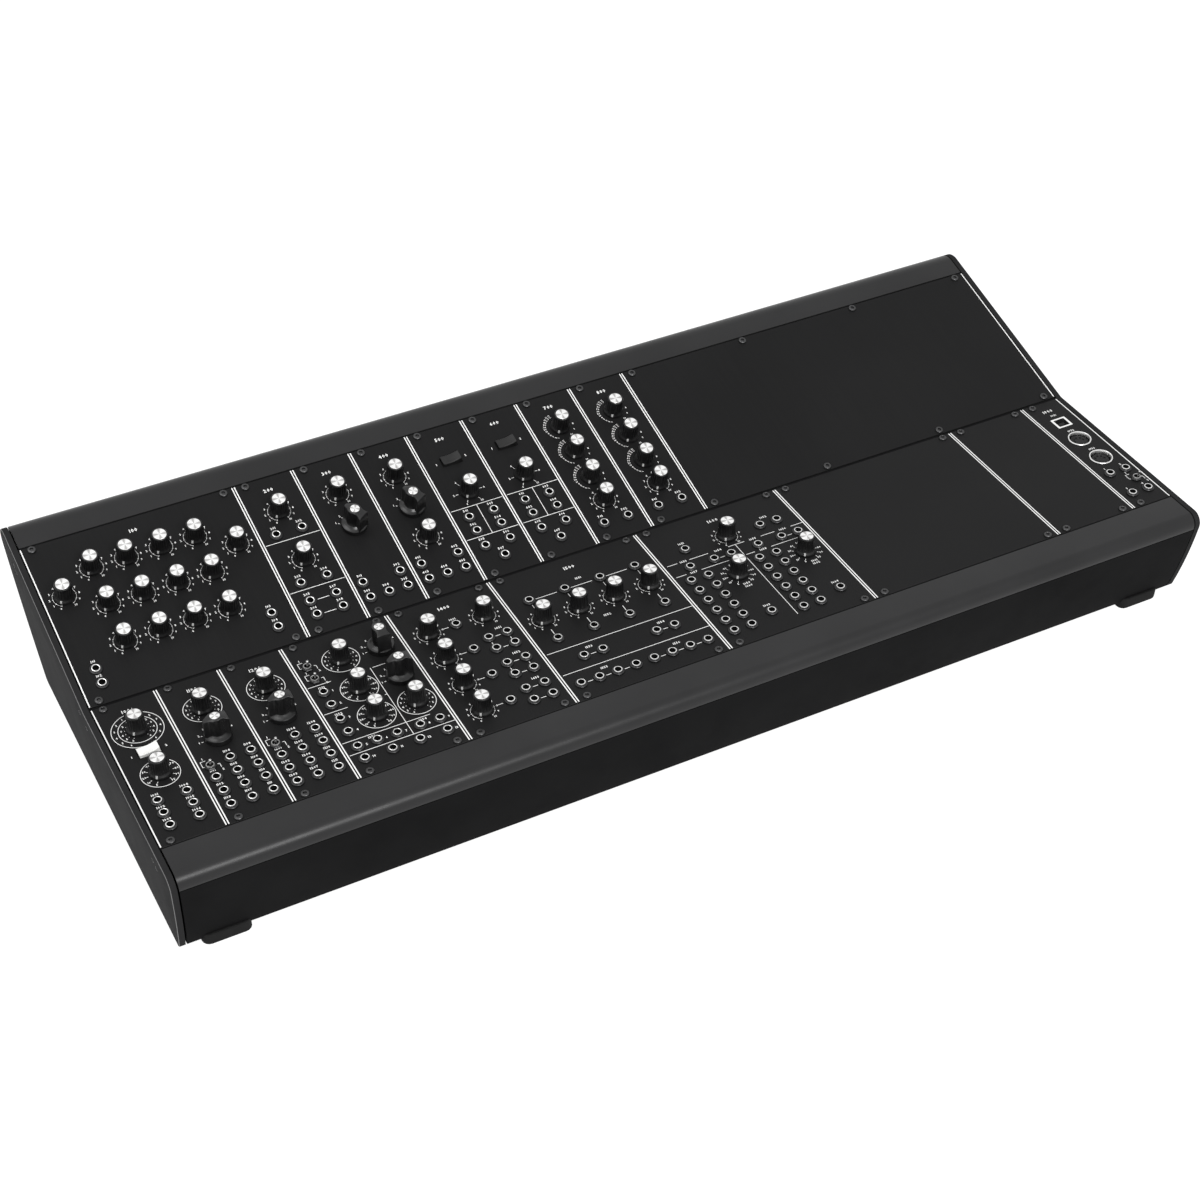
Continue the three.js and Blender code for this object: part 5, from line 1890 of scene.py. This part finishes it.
@dataclass
class Controls:
    """The knobs, selectors, rockers and toggles."""

    rows: Rows
    finishes: Finishes
    copies: Copies
    back: Matrix
    knob: KnobShape = field(default_factory=KnobShape)
    selector: SelectorShape = field(default_factory=SelectorShape)
    cap_half: Point = (6.4, 3.42)
    cap_rise: float = 3.3
    cap_dip: float = 1.0
    cap_under: float = 1.2
    cap_edge: float = 0.35
    cap_steps: int = 12
    toggle_pivot: float = -1.0

    def place_knobs(self, name: str, places: Sequence[Matrix], body: str, nodes: Sequence[str]) -> None:
        """Sets knobs on one body of the frame."""
        set_out, knob, coats = self.copies.set_out, self.knob, self.finishes
        set_out(name + "_grip", knob.body(), places, coats.knob, body=body, stands_for=nodes)
        set_out(name + "_disc", knob.top(), places, coats.disc, mark_spots=True, body=body)
        set_out(name + "_pointer", knob.pointer(), places, coats.mark, body=body)

    def place_selector(self, name: str, place: Matrix) -> None:
        """Sets one selector on its body."""
        set_out, coats = self.copies.set_out, self.finishes
        set_out(name + "_grip", self.selector.body(), [place], coats.grip, body=name, stands_for=[name])
        set_out(name + "_disc", self.selector.top(), [place], coats.disc, mark_spots=True, body=name)

    def rocker(self, name: str, matrix: Matrix, coat: Coat) -> None:
        """Makes a rocker cap with a dished top, at rest on the frame of its place, and sets it on its body."""
        (half, wide), edge = self.cap_half, self.cap_edge
        shares = [k / self.cap_steps * 2 - 1 for k in range(self.cap_steps + 1)]
        tops = [(share * half, self.cap_rise - self.cap_dip * (1 - share * share)) for share in shares]
        section = [(-half, -self.cap_under), (half, -self.cap_under), *reversed(tops)]
        drawn = inset(section, edge)
        body = Body()
        body.stack([
            [(x, -y, z) for x, z in path]
            for y, path in ((-wide, drawn), (-wide + edge, section), (wide - edge, section), (wide, drawn))
        ])
        rest = matrix @ Matrix.Rotation(ROCKER_REST, 4, "Y")
        settle(name + "_cap", mesh_of(name + "_cap", body, rest, 35), coat, name, [name])

    def toggle(self, name: str, matrix: Matrix) -> None:
        """Makes a toggle's lever, at rest on the frame of its place, and sets it on its body."""
        lever = turned([
            (0, -1.7), (1.1, -1.4), (1.6, -0.5), (1.5, 0.4), (0.9, 1.2), (0.58, 1.7), (0.56, 4.0), (0.8, 7.2),
            (0.95, 8.2), (0.82, 8.75), (0.5, 8.96), (0, 9.0),
        ], 20)
        rest = matrix @ Matrix.Rotation(TOGGLE_REST, 4, "X")
        settle(name + "_lever", mesh_of(name + "_lever", lever, rest, 50), self.finishes.grey_nickel, name, [name])

    def build(self) -> None:
        """Builds the controls."""
        rows, coats = self.rows, self.finishes
        seated: list[Matrix] = []
        for module in MODULES:
            for i, spot in enumerate(module.spots(module.knobs)):
                place = rows.seat(module, spot, 0.0, KNOB_REST)
                if i < len(module.turning):
                    self.place_knobs(module.turning[i], [place], module.turning[i], [module.turning[i]])
                else:
                    seated.append(place)
            for (name, turn, *_), spot in zip(module.wings, module.at(module.wings)):
                self.place_selector(name, rows.seat(module, spot, 0.0, math.tau * turn))
            for (name, *_), spot in zip(module.rockers, module.at(module.rockers)):
                self.rocker(name, rows.frame_of(module, spot), coats.white if "driver" in name else coats.black)
            for (name, *_), spot in zip(module.toggles, module.at(module.toggles)):
                self.toggle(name, rows.frame_of(module, spot, self.toggle_pivot))
        self.place_knobs("seated_knobs", seated, "case", ())
        self.rocker("power_rocker", self.back, coats.black)


# Sockets


@dataclass
class Sockets:
    """The patch jacks, the toggles' bushings, the rockers' wells and the sockets of the end module."""

    rows: Rows
    finishes: Finishes
    copies: Copies
    well_outer: Point = (7.28, 3.88)
    well_inner: Point = (6.85, 3.6)
    well_levels: tuple[float, float, float] = (-4.5, -0.02, -4.0)
    pin_circle: float = 3.5
    pin_step: float = math.radians(45)
    key_drop: float = 5.75
    key_half: Point = (1.1, 0.75)
    shell_right: tuple[Point, ...] = ((4.2, -3.85), (4.2, 1.9), (4.2, 3.85))
    mouth_right: tuple[Point, ...] = ((3.8, -3.4), (3.8, 1.6), (2.3, 3.4))
    tongue_half: Point = (2.8, 1.3)
    tongue_edge: float = 0.3

    def jacks(self) -> None:
        """Sets the jacks: a bright sleeve in a dark nut, with a black well."""
        sleeve = [(2.12, 0.6), (2.6, 0.6), (2.82, 1.2), (2.82, 1.65), (2.68, 1.9), (2.4, 2.0), (2.14, 1.9)]
        nut = [(2.7, 0.02), (4.0, 0.02), (4.02, 0.75), (3.8, 1.02), (3.5, 1.12), (3.1, 1.1), (3.0, 0.85), (2.7, 0.85)]
        well = [
            (0, -8.0), (2.5, -8.0), (2.5, 0.5), (2.13, 0.58), (2.12, 1.86), (1.95, 1.86), (1.9, -7.6), (0, -7.6),
        ]
        places = [self.rows.seat(m, spot) for m in MODULES for spot in m.spots(m.jacks)]
        self.copies.set_out("jack_sleeves", turned(sleeve, 22), places, self.finishes.nickel)
        self.copies.set_out("jack_nuts", turned(nut, 22), places, self.finishes.dark_nickel)
        self.copies.set_out("jack_wells", turned(well, 18), places, self.finishes.pit)

    def bushings(self) -> None:
        """Sets the toggles' bushings, with their nuts, and a black lining in each bushing as painted shade."""
        nut = [(2.68, 0.02), (3.6, 0.02), (3.6, 0.85), (3.35, 1.1), (2.68, 1.1)]
        collar = [(1.95, -4.5), (2.64, -4.5), (2.64, 2.3), (2.5, 2.55), (2.15, 2.55), (1.95, 2.3)]
        # A black sheet over the bushing's inner wall: painted shade in the bore.
        painted_shade_lining = [(1.5, 0.7), (1.94, 0.7), (1.94, 2.36), (1.5, 2.3)]
        places = [self.rows.seat(m, spot) for m in MODULES for spot in m.at(m.toggles)]
        self.copies.set_out("toggle_nuts", turned(nut, 6), places, self.finishes.dark_nickel, 30.0)
        self.copies.set_out("toggle_bushings", turned(collar, 24), places, self.finishes.grey_nickel, 40.0)
        self.copies.set_out("toggle_linings", turned(painted_shade_lining, 20), places, self.finishes.pit, 40.0)

    def wells(self) -> None:
        """Makes the wells that the rockers sit in."""
        body = Body()
        under, rim, floor = self.well_levels
        for module in MODULES:
            for spot in module.at(module.rockers):
                outer = rounded(*about(spot, self.well_outer), 0.5, 2)
                inner = rounded(*about(spot, self.well_inner), 0.4, 2)
                well = Body()
                well.skin([(outer, under), (outer, rim), (inner, rim), (inner, floor)])
                body.merge(well, self.rows.frame_of(module))
        settle("rocker_wells", mesh_of("rocker_wells", body), self.finishes.pit)

    def end_module(self) -> None:
        """Makes the two round five-pin sockets and the square one."""
        module = MODULES[-1]
        shells, faces, wells = Body(), Body(), Body()
        for spot in module.at(module.din):
            shells.lathe([
                (6.85, -3.2), (7.1, -3.2), (7.1, 0.04), (8.2, 0.04), (8.2, 0.4), (8.0, 0.7), (7.6, 0.8), (7.3, 0.6),
                (6.85, -0.8),
            ], 40, spot)
            faces.lathe([(0, -7.4), (6.2, -7.4), (6.2, -1.9), (5.9, -1.6), (0, -1.6)], 36, spot)
            wells.lathe([(6.2, -7.4), (6.84, -7.4), (6.84, -3.3), (6.2, -3.3)], 36, spot)
            for k in range(5):
                pin = polar(spot, self.pin_circle, self.pin_step * k)
                wells.lathe([(0, -2.0), (0.8, -2.0), (0.8, -1.52), (0, -1.52)], 14, pin)
            wells.block(about((spot[0], spot[1] - self.key_drop), self.key_half), -2.0, -1.5)
        for spot in module.at(module.usb):
            outer, inner = mirrored(spot, self.shell_right), mirrored(spot, self.mouth_right)
            faces.skin([(inner, -7.4), (outer, -7.4), (outer, -0.3), (inner, -0.3)], looped=True)
            wells.block(about(spot, (3.9, 3.5)), -8.0, -7.45)
            (a, b), edge = self.tongue_half, self.tongue_edge
            tongue, tip = (rounded(*about(spot, (a - d, b - d)), edge, 1) for d in (0.0, edge * 0.8))
            faces.skin([(tongue, -7.44), (tongue, -1.2 - edge), (tip, -1.2)])
        for name, body, coat in (
            ("round_socket_shells", shells, self.finishes.nickel), ("socket_faces", faces, self.finishes.face),
            ("socket_pin_holes", wells, self.finishes.pit),
        ):
            settle(name, mesh_of(name, body, self.rows.frame_of(module), 32), coat)

    def build(self) -> None:
        """Builds the sockets."""
        self.jacks()
        self.bushings()
        self.wells()
        self.end_module()


# Stage


@dataclass
class Studio:
    """The camera, the floor and the lights. Sizes are in metres."""

    eye: Place = (-0.49765, -0.93657, 0.89623)
    turn: tuple[Place, Place, Place] = (
        (0.889336, 0.333299, -0.313038), (-0.457244, 0.643968, -0.613378), (-0.002852, 0.688635, 0.725103),
    )
    sensor: float = 36.0
    lens: float = 60.7975
    shift: Point = (0.0098365, 0.2056576)
    floor_half: float = 12.0
    floor_glow: float = 1.36

    def camera(self) -> None:
        """Makes the camera at the photograph's angle."""
        data = bpy.data.cameras.new("camera")
        data.sensor_width = self.sensor
        data.lens = self.lens
        data.shift_x, data.shift_y = self.shift
        camera = linked("camera", data)
        camera.matrix_world = Matrix.Translation(self.eye) @ Matrix(self.turn).to_4x4()
        bpy.context.scene.camera = camera

    def floor(self) -> None:
        """Makes the pale floor, which glows a little where it is seen."""
        mesh = bpy.data.meshes.new("floor")
        corners = [(x, y, 0) for x, y in box(*about((0.0, 0.0), (self.floor_half, self.floor_half)))]
        mesh.from_pydata(corners, [], [(0, 1, 2, 3)])
        shader = Shader("floor_paper")
        tint = shader.blend(shader.noise(3.0).between(0.2, 0.8), (0.9, 0.9, 0.9), (0.93, 0.93, 0.93))
        paper = shader.level("ShaderNodeBsdfDiffuse", {"Color": tint})
        glow = shader.level("ShaderNodeEmission", {"Strength": self.floor_glow})
        mixed = shader.level("ShaderNodeMixShader", {0: shader.seen() * 0.6, 1: paper, 2: glow})
        shader.node("ShaderNodeOutputMaterial", {"Surface": mixed})
        mesh.materials.append(shader.material)
        floor = linked("floor", mesh)

    def lamp(self, name: str, place: Place, aim: Place, size: Point, power: float) -> None:
        """Hangs a soft area lamp."""
        data = bpy.data.lights.new(name, "AREA")
        data.shape = "RECTANGLE"
        data.size, data.size_y = size
        data.energy = power
        lamp = linked(name, data)
        lamp.rotation_euler = (Vector(aim) - Vector(place)).to_track_quat("-Z", "Y").to_euler()
        lamp.location = place

    def build(self) -> None:
        """Sets the stage."""
        scene = bpy.context.scene
        scene.view_settings.view_transform = "Standard"
        sky = Shader("studio", world=True)
        back = sky.level("ShaderNodeBackground", {"Color": (1, 1, 1), "Strength": sky.seen() * 0.5 + 0.5})
        sky.node("ShaderNodeOutputWorld", {"Surface": back})
        scene.world = sky.material
        self.camera()
        self.floor()
        self.lamp("key", (-1.1, 0.2, 2.0), (0, 0, 0), (1.2, 1.2), 15)
        self.lamp("band", (-0.1, -1.6, 1.45), (0, -0.1, 0), (0.9, 0.7), 32)


def main() -> None:
    """Builds the synthesizer's looks and its stage."""
    logging.basicConfig(level=logging.INFO, format="%(message)s")
    rows, finishes, copies = Rows(), Finishes(), Copies()
    Studio().build()
    case = Case(rows, finishes, copies)
    case.build()
    Panels(rows, finishes, copies).build()
    Print(rows, finishes, Numerals()).build(DialScale())
    Controls(rows, finishes, copies, case.entry_matrix()).build()
    Sockets(rows, finishes, copies).build()
    for node, coat in (("bus_board", finishes.board), ("middle_rail", finishes.extrusion)):
        mesh = frame["nodes"][node].data
        mesh.materials.clear()
        mesh.materials.append(coat.material)


if __name__ == "__main__":
    main()
